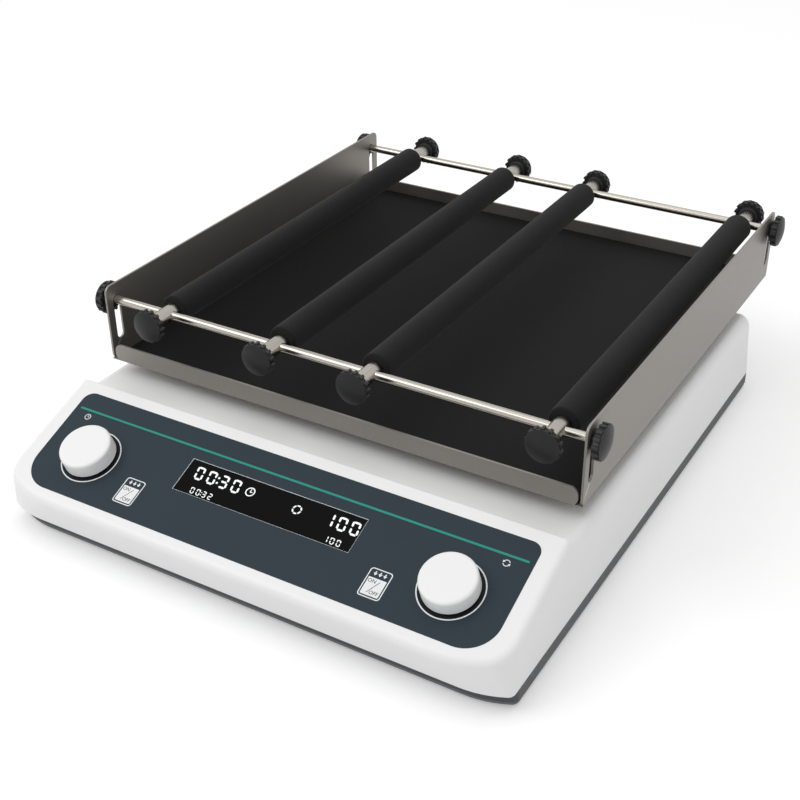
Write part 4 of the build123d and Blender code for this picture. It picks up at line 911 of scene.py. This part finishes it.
floorMesh = bmesh.new()
bmesh.ops.create_grid(floorMesh, x_segments=2, y_segments=2, size=12000)
bmesh.ops.scale(floorMesh, vec=(0.001, 0.001, 0.001), verts=floorMesh.verts)
floorData = bpy.data.meshes.new("floor")
floorMesh.to_mesh(floorData)
floorMesh.free()
floor = bpy.data.objects.new("floor", floorData)
bpy.context.scene.collection.objects.link(floor)
floorPaint = bpy.data.materials.new("floorPaint")
floorPaint.use_nodes = True
tree = floorPaint.node_tree
tree.nodes.remove(tree.nodes["Principled BSDF"])
matte = addNode(tree, "ShaderNodeBsdfDiffuse", {"Color": (studio["floorTone"],) * 3 + (1,)})
lift = mathNode(tree, "MULTIPLY", seenDirectly(tree), studio["floorLift"])
glow = addNode(tree, "ShaderNodeEmission", {"Color": (1, 1, 1, 1), "Strength": lift})
both = addNode(tree, "ShaderNodeAddShader", {0: matte.outputs[0], 1: glow.outputs[0]})
tree.links.new(both.outputs[0], tree.nodes["Material Output"].inputs["Surface"])
floorData.materials.append(floorPaint)

world = bpy.data.worlds.new("softRoom")
bpy.context.scene.world = world
world.use_nodes = True
tree = world.node_tree
backdrop = tree.nodes["Background"]
backdrop.inputs["Color"].default_value = (*studio["worldTone"], 1)
tree.links.new(spread(tree, seenDirectly(tree), studio["worldLevel"], 1.0), backdrop.inputs["Strength"])


def addLamp(name, place, aim, size, power):
    lamp = bpy.data.lights.new(name, "AREA")
    lamp.shape = "RECTANGLE"
    lamp.size, lamp.size_y = size
    lamp.energy = power
    holder = bpy.data.objects.new(name, lamp)
    holder.location = place
    holder.rotation_euler = (Vector(aim) - Vector(place)).to_track_quat("-Z", "Y").to_euler()
    bpy.context.scene.collection.objects.link(holder)


addLamp("keyLamp", (-1.3, -1.2, 1.9), (0, 0, 0.05), (1.6, 1.2), 16)
addLamp("topLamp", (0.1, 0.3, 2.3), (0, 0, 0.05), (2.0, 2.0), 9)

azimuth = math.radians(studio["cameraAzimuth"])
elevation = math.radians(studio["cameraElevation"])
roll = math.radians(studio["cameraRoll"])
level = math.cos(elevation)
back = Vector((math.sin(azimuth) * level, -math.cos(azimuth) * level, math.sin(elevation)))
right = Vector((math.cos(azimuth), math.sin(azimuth), 0))
above = back.cross(right)
turnedRight = right * math.cos(roll) + above * math.sin(roll)
turnedAbove = above * math.cos(roll) - right * math.sin(roll)
view = Matrix((turnedRight, turnedAbove, back)).transposed().to_4x4()
view.translation = Vector(studio["cameraPlace"]) / 1000
lensData = bpy.data.cameras.new("photoCamera")
lensData.lens = studio["lens"]
lensData.sensor_width = 36.0
lensData.clip_start = 0.01
camera = bpy.data.objects.new("photoCamera", lensData)
camera.matrix_world = view
bpy.context.scene.collection.objects.link(camera)
bpy.context.scene.camera = camera
bpy.context.scene.view_settings.view_transform = "Standard"
print("stage: studio lit")
